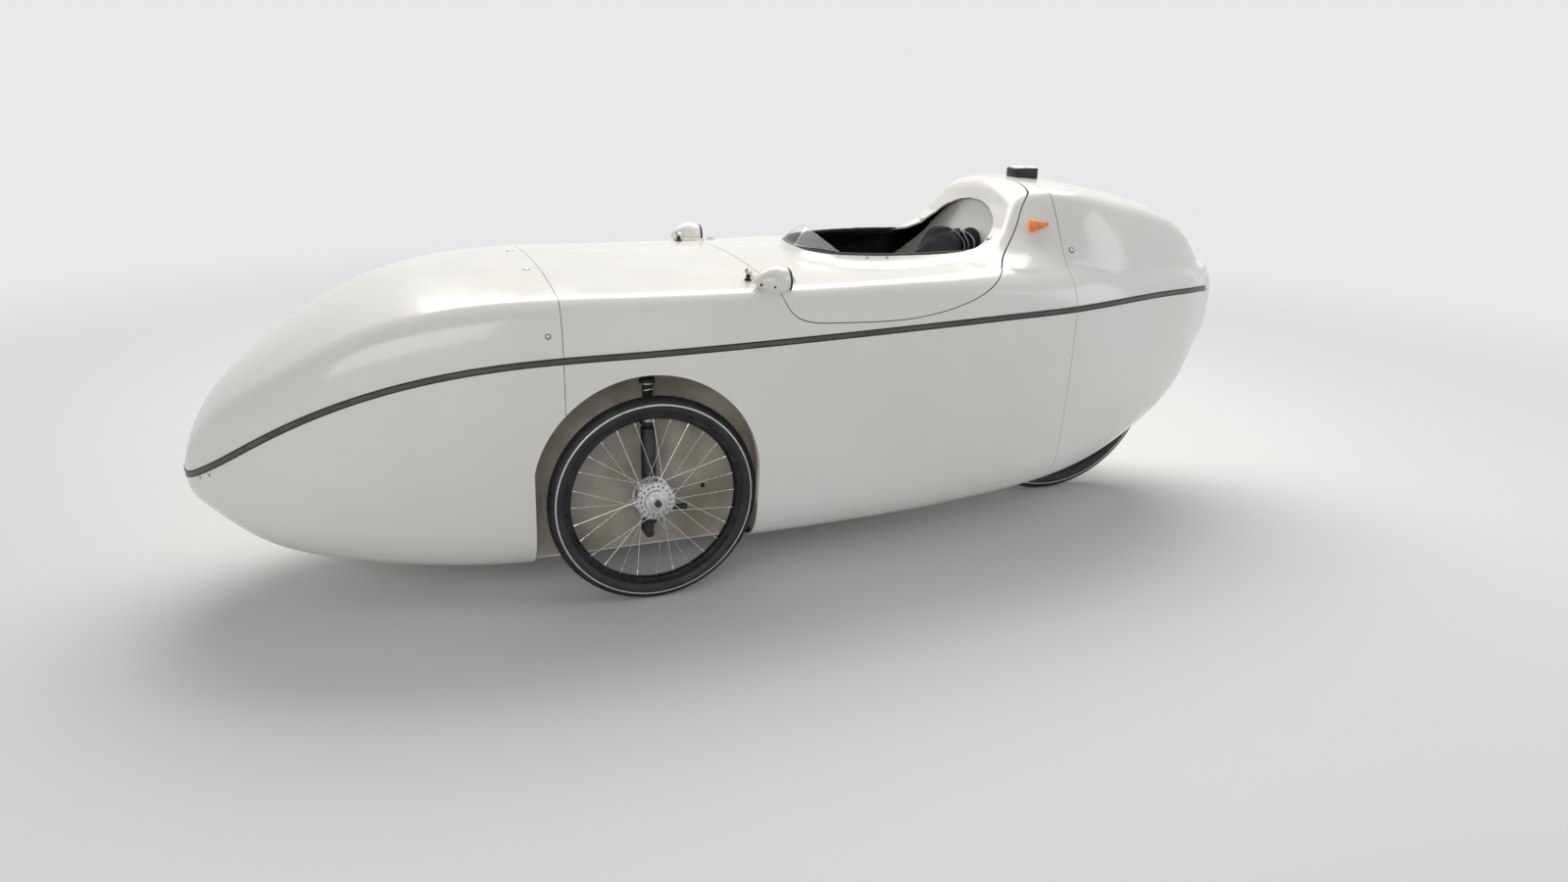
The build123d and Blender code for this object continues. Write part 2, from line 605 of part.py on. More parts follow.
def build_lamps(outer_upper, outer_lower):
    """Roof lamp, indicators, headlight and tail light."""
    x, length, width, height = ROOF_LAMP
    top = outer_upper & slab(x - 2, x + 2)
    roof = top.bounding_box().max.Z
    lamp = slab(x - length / 2, x + length / 2, -width / 2, width / 2, roof - 30, roof + height)
    save(largest(lamp - outer_upper), "roof_lamp")
    for side, sign in (("left", 1), ("right", -1)):
        front = Vector(INDICATOR_FRONT[0], sign * INDICATOR_FRONT[1], INDICATOR_FRONT[2])
        tip = Vector(INDICATOR_TIP[0], sign * INDICATOR_TIP[1], INDICATOR_TIP[2])
        plane = Plane(origin=front, z_dir=tip - front)
        lens = Solid.make_cone(*INDICATOR_R, (tip - front).length, plane)
        save(largest(lens - outer_upper), f"indicator_{side}")
    nose_z = SHELL_SECTIONS[0][3] + STRIP_HALF + HEADLIGHT_R + 1
    lens = Plane(origin=(NOSE_TIP_X, 0, nose_z), z_dir=(1, 0, 0))
    save(Solid.make_cylinder(HEADLIGHT_R, 5, lens), "headlight")
    tail = Plane(origin=(TAIL_TIP_X, 0, 560), z_dir=(-1, 0, 0))
    save(Solid.make_cylinder(TAIL_LIGHT_R, 5, tail), "tail_light")


if __name__ == "__main__":
    os.makedirs("parts", exist_ok=True)
    below = below_seam()
    outer_upper = upper_loft() + fairing_loft() - face_cutter()
    outer_lower = lower_loft()
    build_seam_strip(outer_lower)
    inner_upper = build_upper(outer_upper, below)
    inner_lower, well = build_lower(outer_lower, below)
    build_subframe(inner_lower)
    build_tail_inside(inner_upper + inner_lower)
    build_suspension(well)
    build_wheel("left", FRONT_AXLE_X, HALF_TRACK, FRONT_WHEEL_R, STUB_R, FRONT_WHEEL)
    build_wheel("right", FRONT_AXLE_X, -HALF_TRACK, FRONT_WHEEL_R, STUB_R, FRONT_WHEEL)
    build_wheel("rear", REAR_AXLE_X, 0, REAR_WHEEL_R, REAR_AXLE_R, REAR_WHEEL)
    build_cockpit()
    clearance = upper_loft(-5.5)
    for side, sign in (("left", 1), ("right", -1)):
        build_mirror(side, sign, clearance)
    build_hinge(outer_upper)
    build_lamps(outer_upper, outer_lower)
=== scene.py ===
# %% [markdown]
# # A velomobile: a white glass-fibre shell on three wheels
#
# The real object is a cycle inside a smooth egg-shaped body. The shell is a handful of thin laminate
# panels with narrow gaps between them, so that is how it is made here: one smooth skin is worked out
# from cross-sections, cut along the real joints, and given the thickness of the laminate.
# Everything is in metres, +X to the nose, +Y to the left side, the origin on the ground.

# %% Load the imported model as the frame
import json
import math

import bmesh
import bpy
import numpy as np
from mathutils import Matrix, Vector

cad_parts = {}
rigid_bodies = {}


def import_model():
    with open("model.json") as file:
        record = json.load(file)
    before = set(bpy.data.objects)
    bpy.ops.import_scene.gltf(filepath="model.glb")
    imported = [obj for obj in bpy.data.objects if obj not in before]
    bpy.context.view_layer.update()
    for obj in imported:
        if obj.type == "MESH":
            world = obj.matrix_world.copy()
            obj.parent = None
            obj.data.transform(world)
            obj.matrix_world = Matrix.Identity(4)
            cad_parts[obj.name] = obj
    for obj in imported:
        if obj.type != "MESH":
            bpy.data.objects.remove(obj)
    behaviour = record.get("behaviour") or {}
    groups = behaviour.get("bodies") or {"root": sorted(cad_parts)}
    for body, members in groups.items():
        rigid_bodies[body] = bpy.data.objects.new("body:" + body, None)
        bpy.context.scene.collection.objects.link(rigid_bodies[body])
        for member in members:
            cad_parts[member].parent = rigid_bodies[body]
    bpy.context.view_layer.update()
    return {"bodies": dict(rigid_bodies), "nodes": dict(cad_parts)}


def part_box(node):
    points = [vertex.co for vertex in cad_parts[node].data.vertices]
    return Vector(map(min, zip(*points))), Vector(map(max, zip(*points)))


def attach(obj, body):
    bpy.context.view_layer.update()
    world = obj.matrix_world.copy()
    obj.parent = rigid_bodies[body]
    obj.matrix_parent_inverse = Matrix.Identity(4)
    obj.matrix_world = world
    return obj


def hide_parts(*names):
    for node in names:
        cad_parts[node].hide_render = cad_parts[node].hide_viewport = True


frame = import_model()

# %% [markdown]
# ## Finishes
#
# Every finish is a node tree on the Principled shader. Constant values stay on the shader's own sockets;
# what changes over the surface comes from noise in Object coordinates, which are metres here, so a noise
# scale of 100 has features about a centimetre across. One helper makes the shader and three small ones
# add colour variation, uneven gloss and relief, because almost every finish needs one of each.

# %% Helpers for node trees
def add_node(tree, kind, **values):
    """A node of one kind, with its inputs and settings filled in by name."""
    node = tree.nodes.new(kind)
    for key, value in values.items():
        if key in node.inputs:
            node.inputs[key].default_value = value
        else:
            setattr(node, key, value)
    return node


def finish(name, colour, roughness, **sockets):
    """A material with its Principled shader set, and the shader."""
    material = bpy.data.materials.new(name)
    material.use_nodes = True
    shader = material.node_tree.nodes["Principled BSDF"]
    shader.inputs["Base Color"].default_value = (*colour, 1)
    shader.inputs["Roughness"].default_value = roughness
    for key, value in sockets.items():
        shader.inputs[key.replace("_", " ")].default_value = value
    material.diffuse_color = (*colour, 1)
    return material, shader


def object_noise(tree, scale, detail=3.0, stretch=None):
    """Noise in Object coordinates; stretch squeezes it along each axis."""
    place = add_node(tree, "ShaderNodeTexCoord").outputs["Object"]
    if stretch:
        mapping = add_node(tree, "ShaderNodeMapping", Scale=stretch)
        tree.links.new(place, mapping.inputs["Vector"])
        place = mapping.outputs["Vector"]
    noise = add_node(tree, "ShaderNodeTexNoise", Scale=scale, Detail=detail)
    tree.links.new(place, noise.inputs["Vector"])
    return noise.outputs["Fac"]


def vary_colour(material, first, second, scale, low=0.35, high=0.65, stretch=None):
    """The base colour wanders between two shades."""
    tree = material.node_tree
    ramp = add_node(tree, "ShaderNodeValToRGB")
    ramp.color_ramp.elements[0].position, ramp.color_ramp.elements[1].position = low, high
    ramp.color_ramp.elements[0].color, ramp.color_ramp.elements[1].color = (*first, 1), (*second, 1)
    tree.links.new(object_noise(tree, scale, 4.0, stretch), ramp.inputs["Fac"])
    tree.links.new(ramp.outputs["Color"], tree.nodes["Principled BSDF"].inputs["Base Color"])
    return ramp


def vary_gloss(material, low, high, scale):
    """The roughness wanders between two values."""
    tree = material.node_tree
    span = add_node(tree, "ShaderNodeMapRange")
    span.inputs["From Min"].default_value, span.inputs["From Max"].default_value = 0.35, 0.65
    span.inputs["To Min"].default_value, span.inputs["To Max"].default_value = low, high
    tree.links.new(object_noise(tree, scale), span.inputs["Value"])
    tree.links.new(span.outputs["Result"], tree.nodes["Principled BSDF"].inputs["Roughness"])


def relief(material, height, distance, strength=1.0):
    """Bump from a height output, added on top of any earlier bump."""
    tree = material.node_tree
    normal = tree.nodes["Principled BSDF"].inputs["Normal"]
    bump = add_node(tree, "ShaderNodeBump", Strength=strength, Distance=distance)
    tree.links.new(height, bump.inputs["Height"])
    if normal.links:
        tree.links.new(normal.links[0].from_socket, bump.inputs["Normal"])
    tree.links.new(bump.outputs["Normal"], normal)


# %% Gelcoat: the glossy white outside of the laminate
gelcoat, _ = finish("gelcoat", (0.80, 0.785, 0.73), 0.2, Coat_Weight=0.35, Coat_Roughness=0.06)
vary_colour(gelcoat, (0.785, 0.765, 0.70), (0.82, 0.81, 0.765), 2.2)
vary_gloss(gelcoat, 0.16, 0.27, 9.0)
relief(gelcoat, object_noise(gelcoat.node_tree, 5.0, 1.0), 0.0016)
relief(gelcoat, object_noise(gelcoat.node_tree, 420.0, 2.0), 0.00003)

# %% Laminate: the bare inside of the shell, dark resin over woven glass
laminate, _ = finish("laminate", (0.012, 0.012, 0.013), 0.5)
vary_colour(laminate, (0.008, 0.008, 0.009), (0.02, 0.02, 0.021), 30.0)
place = add_node(laminate.node_tree, "ShaderNodeTexCoord").outputs["Object"]
weave = add_node(laminate.node_tree, "ShaderNodeTexChecker", Scale=260.0)
laminate.node_tree.links.new(place, weave.inputs["Vector"])
relief(laminate, weave.outputs["Fac"], 0.0003, 0.6)

# %% [markdown]
# ## The skin
#
# A boat builder would loft this hull from cross-sections, and so does this cell. Each station gives the
# half width, the heights of deck, seam and floor, and the angles and radii of the arcs between them.
# Widths and heights are squared before they are interpolated, because a rounded nose grows like the
# square root of the distance from its tip: the squares then run almost straight, and the tip closes round.

# %% Stations of the hull, of the fairing behind the head, and of the raked face of the fairing
FRONT_AXLE = 0.375
NOSE_TIP, TAIL_TIP = 1.3562, -1.3715
SEAM_GAP = 0.0006

HULL = np.array([
    # x, half width, deck, seam, floor, crown, side, shoulder radius, bilge radius
    (1.353, .033, .338, .311, .285, 20, 64, .015, .018),
    (1.298, .137, .461, .351, .230, 20, 64, .046, .085),
    (1.195, .238, .563, .427, .163, 18, 66, .058, .130),
    (0.995, .325, .685, .526, .107, 14, 70, .066, .135),
    (0.725, .377, .741, .585, .078, 9, 74, .060, .130),
    (0.425, .388, .743, .595, .075, 8, 76, .046, .120),
    (0.025, .388, .737, .603, .077, 7, 76, .044, .120),
    (-.345, .385, .739, .615, .088, 6, 77, .062, .120),
    (-.520, .382, .750, .621, .101, 8, 77, .104, .122),
    (-.690, .376, .765, .627, .122, 10, 75, .150, .125),
    (-.850, .345, .752, .632, .155, 10, 75, .130, .122),
    (-1.005, .292, .727, .630, .208, 12, 76, .080, .115),
    (-1.185, .205, .688, .616, .310, 16, 76, .034, .085),
    (-1.295, .122, .645, .597, .420, 18, 74, .019, .055),
    (-1.367, .036, .606, .575, .525, 20, 70, .012, .018),
])
FAIRING = np.array([
    # x, half width at the foot, height of the foot, top, crown, flank, foot angle, corner radius
    (-.440, .190, .690, .750, 20, 40, 50, .025),
    (-.510, .305, .690, .800, 18, 34, 38, .035),
    (-.570, .326, .690, .858, 16, 44, 46, .040),
    (-.635, .318, .690, .900, 12, 52, 57, .050),
    (-.700, .312, .688, .907, 8, 56, 75, .052),
    (-.850, .306, .686, .890, 10, 58, 77, .060),
    (-1.005, .260, .676, .858, 14, 60, 80, .060),
    (-1.185, .183, .646, .778, 18, 62, 82, .050),
    (-1.295, .109, .604, .668, 20, 64, 84, .026),
    (-1.367, .033, .576, .614, 20, 64, 86, .015),
])
RIM_Z = 0.752
FACE = [(-.900, 1.5), (-.660, 1.02), (-.635, .960), (-.625, .905), (-.598, .850), (-.566, .800),
        (-.534, .770), (-.495, RIM_Z), (-.400, .732), (.400, .732)]
FAIRING_BLEND, FACE_BLEND, COAMING_BLEND = 0.055, 0.014, 0.010
COAMING_SLOPE = 0.72
OPENING = [(-.086, 0), (-.110, .122), (-.195, .182), (-.325, .207), (-.425, .203), (-.525, .180),
           (-.568, .150), (-.588, .100), (-.597, .050), (-.599, 0)]


def natural_spline(xs, ys):
    """Smooth curve through points, as a function."""
    order = np.argsort(xs)
    xs, ys = np.asarray(xs, float)[order], np.asarray(ys, float)[order]
    count, step = len(xs), np.diff(np.asarray(xs))
    matrix, right = np.eye(count), np.zeros(count)
    for i in range(1, count - 1):
        matrix[i, i - 1:i + 2] = step[i - 1], 2 * (step[i - 1] + step[i]), step[i]
        right[i] = 6 * ((ys[i + 1] - ys[i]) / step[i] - (ys[i] - ys[i - 1]) / step[i - 1])
    bend = np.linalg.solve(matrix, right)

    def curve(x):
        i = int(np.clip(np.searchsorted(xs, x) - 1, 0, count - 2))
        a, b = (xs[i + 1] - x) / step[i], (x - xs[i]) / step[i]
        cubic = ((a ** 3 - a) * bend[i] + (b ** 3 - b) * bend[i + 1]) * step[i] ** 2 / 6
        return float(a * ys[i] + b * ys[i + 1] + cubic)
    return curve


def smooth_line(points, spacing):
    """Evenly spaced points along a smooth line through a few points."""
    points = np.array(points)
    length = np.concatenate([[0], np.cumsum(np.linalg.norm(np.diff(points, axis=0), axis=1))])
    curves = [natural_spline(length, points[:, k]) for k in range(points.shape[1])]
    steps = np.linspace(0, length[-1], int(length[-1] / spacing) + 1)
    return [tuple(curve(t) for curve in curves) for t in steps]


def squared_spline(xs, ys, *ends):
    """Smooth curve whose square is splined, and which is zero at the ends."""
    square = natural_spline([*xs, *ends], [*(np.asarray(ys) ** 2), *[0.0] * len(ends)])
    return lambda x: math.sqrt(max(square(x), 0.0))


stations = HULL[:, 0]
hull_seam = natural_spline(stations, HULL[:, 3])
hull_width = squared_spline(stations, HULL[:, 1], NOSE_TIP, TAIL_TIP)
hull_rise = squared_spline(stations, HULL[:, 2] - HULL[:, 3], NOSE_TIP, TAIL_TIP)
hull_depth = squared_spline(stations, HULL[:, 3] - HULL[:, 4], NOSE_TIP, TAIL_TIP)
hull_shape = [natural_spline(stations, HULL[:, column]) for column in range(5, 9)]
fairing_seam = np.array([hull_seam(x) for x in FAIRING[:, 0]])
fairing_width = squared_spline(FAIRING[:, 0], FAIRING[:, 1], TAIL_TIP)
fairing_rise = squared_spline(FAIRING[:, 0], FAIRING[:, 3] - fairing_seam, TAIL_TIP)
fairing_foot = natural_spline([*FAIRING[:, 0], TAIL_TIP], [*(FAIRING[:, 2] - fairing_seam), 0.0])
fairing_shape = [natural_spline(FAIRING[:, 0], FAIRING[:, column]) for column in range(4, 8)]


# %% [markdown]
# A half section is three arcs that run into each other without a corner: crown, shoulder and side.
# Where hull, fairing, raked face and coaming meet, the real mould has a soft radius. A smooth maximum
# gives that radius: it is the larger of two heights, with the corner between them rounded over a width.

# %% Half sections and smooth unions
def arc_step(a, b):
    """Travel (outwards, downwards) along an arc of radius 1 between two slopes in radians."""
    return np.array([np.sin(b) - np.sin(a), np.cos(a) - np.cos(b)])


def half_section(width, height, crown, side, foot, corner, count=60):
    """Points (outwards, down) of three tangent arcs from the middle to the edge."""
    crown, side, foot = np.radians([crown, side, foot])
    corner = min(corner, 0.42 * width, 1.15 * height)
    top, middle, low = arc_step(0, crown), arc_step(crown, side), arc_step(side, foot)
    rest = np.array([width, height]) - corner * middle
    det = top[0] * low[1] - top[1] * low[0]
    radii = ((rest[0] * low[1] - rest[1] * low[0]) / det, corner, (top[0] * rest[1] - top[1] * rest[0]) / det)
    points, last = [np.zeros((1, 2))], np.zeros(2)
    for radius, a, b in zip(radii, (0, crown, side), (crown, side, foot)):
        part = last + radius * arc_step(a, a + (b - a) * np.linspace(0, 1, count)[1:]).T
        points.append(part)
        last = part[-1]
    return np.concatenate(points)


def smooth_max(a, b, width):
    """The larger of two heights, with the corner rounded."""
    share = np.clip(0.5 + 0.5 * (a - b) / width, 0, 1)
    return b + (a - b) * share + width * share * (1 - share)


def smooth_min(a, b, width):
    """The smaller of two heights, with the corner rounded."""
    return -smooth_max(-a, -b, width)


def closed_curve(points, spacing=0.004):
    """Smooth closed outline through half an outline and its mirror image, as an array."""
    curve = bpy.data.curves.new("outline", "CURVE")
    spline = curve.splines.new("BEZIER")
    loop = points + [(x, -y) for x, y in points[-2:0:-1]]
    spline.bezier_points.add(len(loop) - 1)
    for knot, (x, y) in zip(spline.bezier_points, loop):
        knot.co = (x, y, 0)
        knot.handle_left_type = knot.handle_right_type = "AUTO"
    spline.use_cyclic_u = True
    spline.resolution_u = 24
    thing = bpy.data.objects.new("outline", curve)
    mesh = bpy.data.meshes.new_from_object(thing)
    result = np.array([v.co[:2] for v in mesh.vertices])
    bpy.data.objects.remove(thing)
    bpy.data.curves.remove(curve)
    bpy.data.meshes.remove(mesh)
    return result


def signed_distance(points, outline):
    """Distance from each 2-D point to a closed outline, negative inside."""
    a, b = outline, np.roll(outline, -1, axis=0)
    along = b - a
    rel = points[:, None, :] - a[None]
    t = np.clip((rel * along).sum(2) / (along ** 2).sum(1), 0, 1)
    distance = np.sqrt((((rel - t[..., None] * along) ** 2).sum(2)).min(1))
    crosses = (a[:, 1] > points[:, None, 1]) != (b[:, 1] > points[:, None, 1])
    rise = np.where(along[:, 1] == 0, 1e-12, along[:, 1])
    inside = (crosses & (rel[..., 0] < along[:, 0] * rel[..., 1] / rise)).sum(1) % 2
    return np.where(inside, -distance, distance)


opening_outline = closed_curve(OPENING)
print("opening outline:", len(opening_outline), "points")


# %% The upper and lower half sections at any x
def by_length(y, z, count):
    """The same line with evenly spaced points."""
    length = np.concatenate([[0], np.cumsum(np.hypot(np.diff(y), np.diff(z)))])
    even = np.linspace(0, length[-1], count)
    return np.stack([np.interp(even, length, y), np.interp(even, length, z)], 1)


def upper_half(x, count):
    """Upper skin at x, (y, z) from the middle to the seam."""
    width, seam = hull_width(x), hull_seam(x) + SEAM_GAP
    if width < 0.002:
        return np.tile([0.0, seam], (count, 1))
    crown, side, shoulder, _ = (shape(x) for shape in hull_shape)
    deck = half_section(width, max(hull_rise(x), 1e-4), crown, side, 90, shoulder)
    y, z = deck[:, 0], seam + max(hull_rise(x), 1e-4) - deck[:, 1]
    if x < FAIRING[:, 0].max():
        half, foot = fairing_width(x), seam + fairing_foot(x)
        top = seam + fairing_rise(x)
        if half > 0.004 and top - foot > 0.002:
            hump = half_section(half, top - foot, *(shape(x) for shape in fairing_shape))
            both = np.unique(np.concatenate([y, hump[:, 0]]))
            both = both[both <= width]
            plain = np.interp(both, y, z)
            high = np.where(both <= half, np.interp(both, hump[:, 0], top - hump[:, 1]),
                            foot - 3 * (both - half))
            size = min(1.0, (x - TAIL_TIP) / 0.25)
            joined = smooth_max(plain, high, FAIRING_BLEND * size)
            joined = plain + (joined - plain) * np.clip((width - both) / 0.025, 0, 1)
            if x > -.70:
                xs, zs = zip(*FACE)
                joined = smooth_min(joined, np.interp(x, xs, zs), FACE_BLEND)
            y, z = both, joined
    if -.70 < x < .05:
        away = signed_distance(np.stack([np.full_like(y, x), y], 1), opening_outline)
        slope = COAMING_SLOPE * (1 - 0.45 * np.clip((x + .12) / .10, 0, 1))
        collar = RIM_Z - slope * np.maximum(away, 0) + 0.10 * np.maximum(-away, 0)
        z = smooth_max(z, np.where(away < 0.08, collar, 0), COAMING_BLEND)
    return by_length(y, z, count)


def lower_half(x, count):
    """Lower skin at x, (y, z) from the middle to the seam."""
    width, seam = hull_width(x), hull_seam(x) - SEAM_GAP
    if width < 0.002:
        return np.tile([0.0, seam], (count, 1))
    depth = max(hull_depth(x), 1e-4)
    line = half_section(width, depth, 8, 82, 90, hull_shape[3](x))
    return by_length(line[:, 0], seam - depth + line[:, 1], count)

# %% [markdown]
# ## From sections to panels
#
# The sections become one open sheet, finer where the raked face turns quickly and at the two tips.
# Each panel is then cut from a copy of that sheet. A cut is a function that is positive on the side to
# keep: edges are split where it passes through zero, faces are split along the new points, and the rest
# is deleted. That gives clean joints anywhere on the surface, without booleans and without a mesh laid
# out around them. Solidify turns the cut sheet into laminate, with the dark inside as its second finish.

# %% The whole skin as rows of points
def stations_along():
    """X of every row, close together at the tips and on the raked face."""
    tip = 0.06 * (1 - np.cos(np.linspace(0, math.pi / 2, 14)))
    middle = np.concatenate([
        np.arange(TAIL_TIP + 0.06, -.665, .0095), np.arange(-.665, -.455, .0032),
        np.arange(-.455, .05, .006), np.arange(.05, NOSE_TIP - 0.06, .0098),
    ])
    return np.unique(np.round(np.concatenate([TAIL_TIP + tip, middle, NOSE_TIP - tip]), 6))


def skin_rows(half, count):
    """Grid of points from a half-section function, right edge to left edge."""
    xs = stations_along()
    rows = np.zeros((len(xs), 2 * count - 1, 3))
    for row, x in zip(rows, xs):
        line = half(x, count)
        row[:, 0] = x
        row[:, 1] = np.concatenate([-line[::-1, 0], line[1:, 0]])
        row[:, 2] = np.concatenate([line[::-1, 1], line[1:, 1]])
    return rows


upper_rows, lower_rows = skin_rows(upper_half, 96), skin_rows(lower_half, 78)
print("skin rows:", upper_rows.shape, lower_rows.shape)


# %% Cutting a sheet with a function
def sheet_mesh(rows, flip):
    """A bmesh grid over rows of points, its faces pointing outwards."""
    bm = bmesh.new()
    grid = [[bm.verts.new(point) for point in row] for row in rows]
    for near, far in zip(grid, grid[1:]):
        for i in range(len(near) - 1):
            corners = [near[i], far[i], far[i + 1], near[i + 1]]
            bm.faces.new(corners[::-1] if flip else corners)
    bmesh.ops.remove_doubles(bm, verts=bm.verts, dist=1e-6)
    return bm


def keep_where(bm, side):
    """Cut the sheet where side(points) is zero and keep what is positive."""
    def values(points):
        found = side(np.asarray(points, float).reshape(-1, 3))
        return np.where(np.abs(found) < 2e-6, 2e-6, found)

    verts = list(bm.verts)
    value = dict(zip(verts, values([v.co for v in verts])))
    crossing = [e for e in bm.edges if value[e.verts[0]] * value[e.verts[1]] < 0]
    if crossing:
        a = np.array([e.verts[0].co for e in crossing])
        b = np.array([e.verts[1].co for e in crossing])
        low, high = np.zeros(len(a)), np.ones(len(a))
        start = values(a)
        for _ in range(14):
            half = (low + high) / 2
            same = values(a + (b - a) * half[:, None]) * start > 0
            low, high = np.where(same, half, low), np.where(same, high, half)
        for edge, share in zip(crossing, (low + high) / 2):
            _, new = bmesh.utils.edge_split(edge, edge.verts[0], float(share))
            value[new] = 0.0
    for face in list(bm.faces):
        marks = [v for v in face.verts if value[v] == 0]
        if len(marks) == 2:
            bmesh.utils.face_split(face, marks[0], marks[1])
        elif len(marks) == 4:
            ring = list(face.verts)
            start = ring.index(marks[0])
            middle = ring[(start + 1) % len(ring)]
            pair = (marks[0], marks[1]) if value[middle] < 0 else (marks[1], marks[2])
            others = [v for v in marks if v not in pair]
            new, _ = bmesh.utils.face_split(face, *pair)
            for part in (face, new):
                if all(v in part.verts for v in others):
                    bmesh.utils.face_split(part, *others)
                    break
    gone = [f for f in bm.faces if min(value[v] for v in f.verts) < 0]
    bmesh.ops.delete(bm, geom=gone, context="FACES")
    return bm


# %% What to keep for each panel
NOSE_SPLIT, TAIL_SPLIT = FRONT_AXLE + .201, FRONT_AXLE - 1.065
JOINT_GAP = 0.0014
HATCH_GAP = 0.0022
HATCH_LINE = [(.092, .722), (.062, .662), (-.047, .636), (-.205, .633), (-.356, .655), (-.440, .686),
              (-.510, .729), (-.566, .777), (-.606, .829), (-.632, .869), (-.667, .903)]
hatch_edge = smooth_line(HATCH_LINE, .006)
hatch_outline = np.array(hatch_edge + [(-.667, 1.2), (.092, 1.2)])
ARCH_CENTRE, ARCH_R = (FRONT_AXLE + .018, .290), .259
ARCH_SIDES = (FRONT_AXLE + .018 - .259, FRONT_AXLE + .271)
WELL_Y = .240
REAR_SLOT = (-1.262, -.560, .038)


def from_hatch(points):
    return signed_distance(points[:, [0, 2]], hatch_outline)


def from_opening(points):
    return signed_distance(points[:, :2], opening_outline)


def from_arch(points):
    """Distance outside the wheel arches: round above the centre, straight down below it."""
    x, y, z = points.T
    x0, x1 = ARCH_SIDES
    box = np.maximum(x0 - x, x - x1)
    ring = np.hypot(x - ARCH_CENTRE[0], z - ARCH_CENTRE[1]) - ARCH_R
    flat = np.where(z > ARCH_CENTRE[1], np.maximum(ring, box), box)
    return np.maximum(flat, WELL_Y - np.abs(y))


def from_slot(points):
    x, y, _ = points.T
    x0, x1, half = REAR_SLOT
    return np.maximum(np.maximum(x0 - x, x - x1), np.abs(y) - half)


def ahead_of(x):
    return lambda points: points[:, 0] - x


def behind(x):
    return lambda points: x - points[:, 0]


# %% Sheets into laminate
LAMINATE = 0.0045


def mesh_object(name, bm, *materials):
    """A finished bmesh as an object at the origin."""
    mesh = bpy.data.meshes.new(name)
    bm.to_mesh(mesh)
    bm.free()
    thing = bpy.data.objects.new(name, mesh)
    bpy.context.scene.collection.objects.link(thing)
    for material in materials:
        mesh.materials.append(material)
    return thing


def settle(thing, sharp_deg=40):
    """Apply every modifier, smooth the faces and keep corners above an angle sharp."""
    evaluated = thing.evaluated_get(bpy.context.evaluated_depsgraph_get())
    mesh = bpy.data.meshes.new_from_object(evaluated)
    old = thing.data
    thing.modifiers.clear()
    thing.data = mesh
    bpy.data.meshes.remove(old)
    mesh.name = thing.name
    mesh.shade_smooth()
    mesh.set_sharp_from_angle(angle=math.radians(sharp_deg))
    return thing


def solid_object(name, bm, *materials):
    """A bmesh as an object, with its faces turned outwards first."""
    bmesh.ops.recalc_face_normals(bm, faces=bm.faces)
    return mesh_object(name, bm, *materials)


def stitch(bm, rows):
    """Faces between rows of vertices."""
    for near, far in zip(rows, rows[1:]):
        for k in range(len(near) - 1):
            bm.faces.new((near[k], far[k], far[k + 1], near[k + 1]))


def thicken(thing, thickness, offset):
    """Give a sheet a wall."""
    wall = thing.modifiers.new("wall", "SOLIDIFY")
    wall.thickness, wall.offset = thickness, offset
    return wall


def panel(name, rows, body, replaced, *sides):
    """One laminate panel cut from the skin."""
    bm = sheet_mesh(rows, rows is lower_rows)
    for side in sides:
        keep_where(bm, side)
    thing = mesh_object(name, bm, gelcoat, laminate)
    wall = thicken(thing, LAMINATE, -1)
    wall.use_even_offset = True
    wall.material_offset, wall.material_offset_rim = 1, 0
    settle(thing)
    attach(thing, body)
    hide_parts(replaced)
    print(name, len(thing.data.polygons), "faces")
    return thing


half_joint, half_gap = JOINT_GAP / 2, HATCH_GAP / 2
panel("nose_top", upper_rows, "shell", "nose_upper", ahead_of(NOSE_SPLIT + half_joint))
panel("centre_top", upper_rows, "shell", "centre_upper",
      behind(NOSE_SPLIT - half_joint), ahead_of(TAIL_SPLIT + half_joint), lambda p: from_hatch(p) - half_gap)
panel("tail_top", upper_rows, "shell", "tail_upper", behind(TAIL_SPLIT - half_joint))
panel("hatch_cover", upper_rows, "hatch", "hatch", lambda p: -from_hatch(p) - half_gap, from_opening)
panel("nose_bottom", lower_rows, "shell", "nose_lower", ahead_of(NOSE_SPLIT + half_joint), from_arch)
panel("centre_bottom", lower_rows, "shell", "centre_lower",
      behind(NOSE_SPLIT - half_joint), ahead_of(TAIL_SPLIT + half_joint), from_arch, from_slot)
panel("tail_bottom", lower_rows, "shell", "tail_lower", behind(TAIL_SPLIT - half_joint), from_slot)

# %% [markdown]
# ## Finding a place on the skin
#
# Screws, lamps and mirrors sit on the skin, so their places are found by dropping an approximate point
# onto it. A BVH tree answers that quickly: the nearest point and the direction the surface faces there.

# %% Nearest place on the skin
from mathutils.bvhtree import BVHTree


def skin_tree(*grids):
    """A search tree over grids of points."""
    points, faces = [], []
    for rows in grids:
        start, width = len(points), rows.shape[1]
        points += [tuple(p) for row in rows for p in row]
        for i in range(rows.shape[0] - 1):
            base = start + i * width
            faces += [(base + k, base + k + width, base + k + width + 1, base + k + 1)
                      for k in range(width - 1)]
    return BVHTree.FromPolygons(points, faces)


skin = skin_tree(upper_rows, lower_rows)
MIDDLE = Vector((0, 0, 0.45))


def on_skin(x, y, z):
    """Nearest point of the skin and its outward direction."""
    place, normal, _, _ = skin.find_nearest(Vector((x, y, z)))
    outward = Vector((0, place.y, place.z - MIDDLE.z))
    return place, normal if normal.dot(outward) > 0 else -normal


# %% [markdown]
# ## Finishes of the small parts

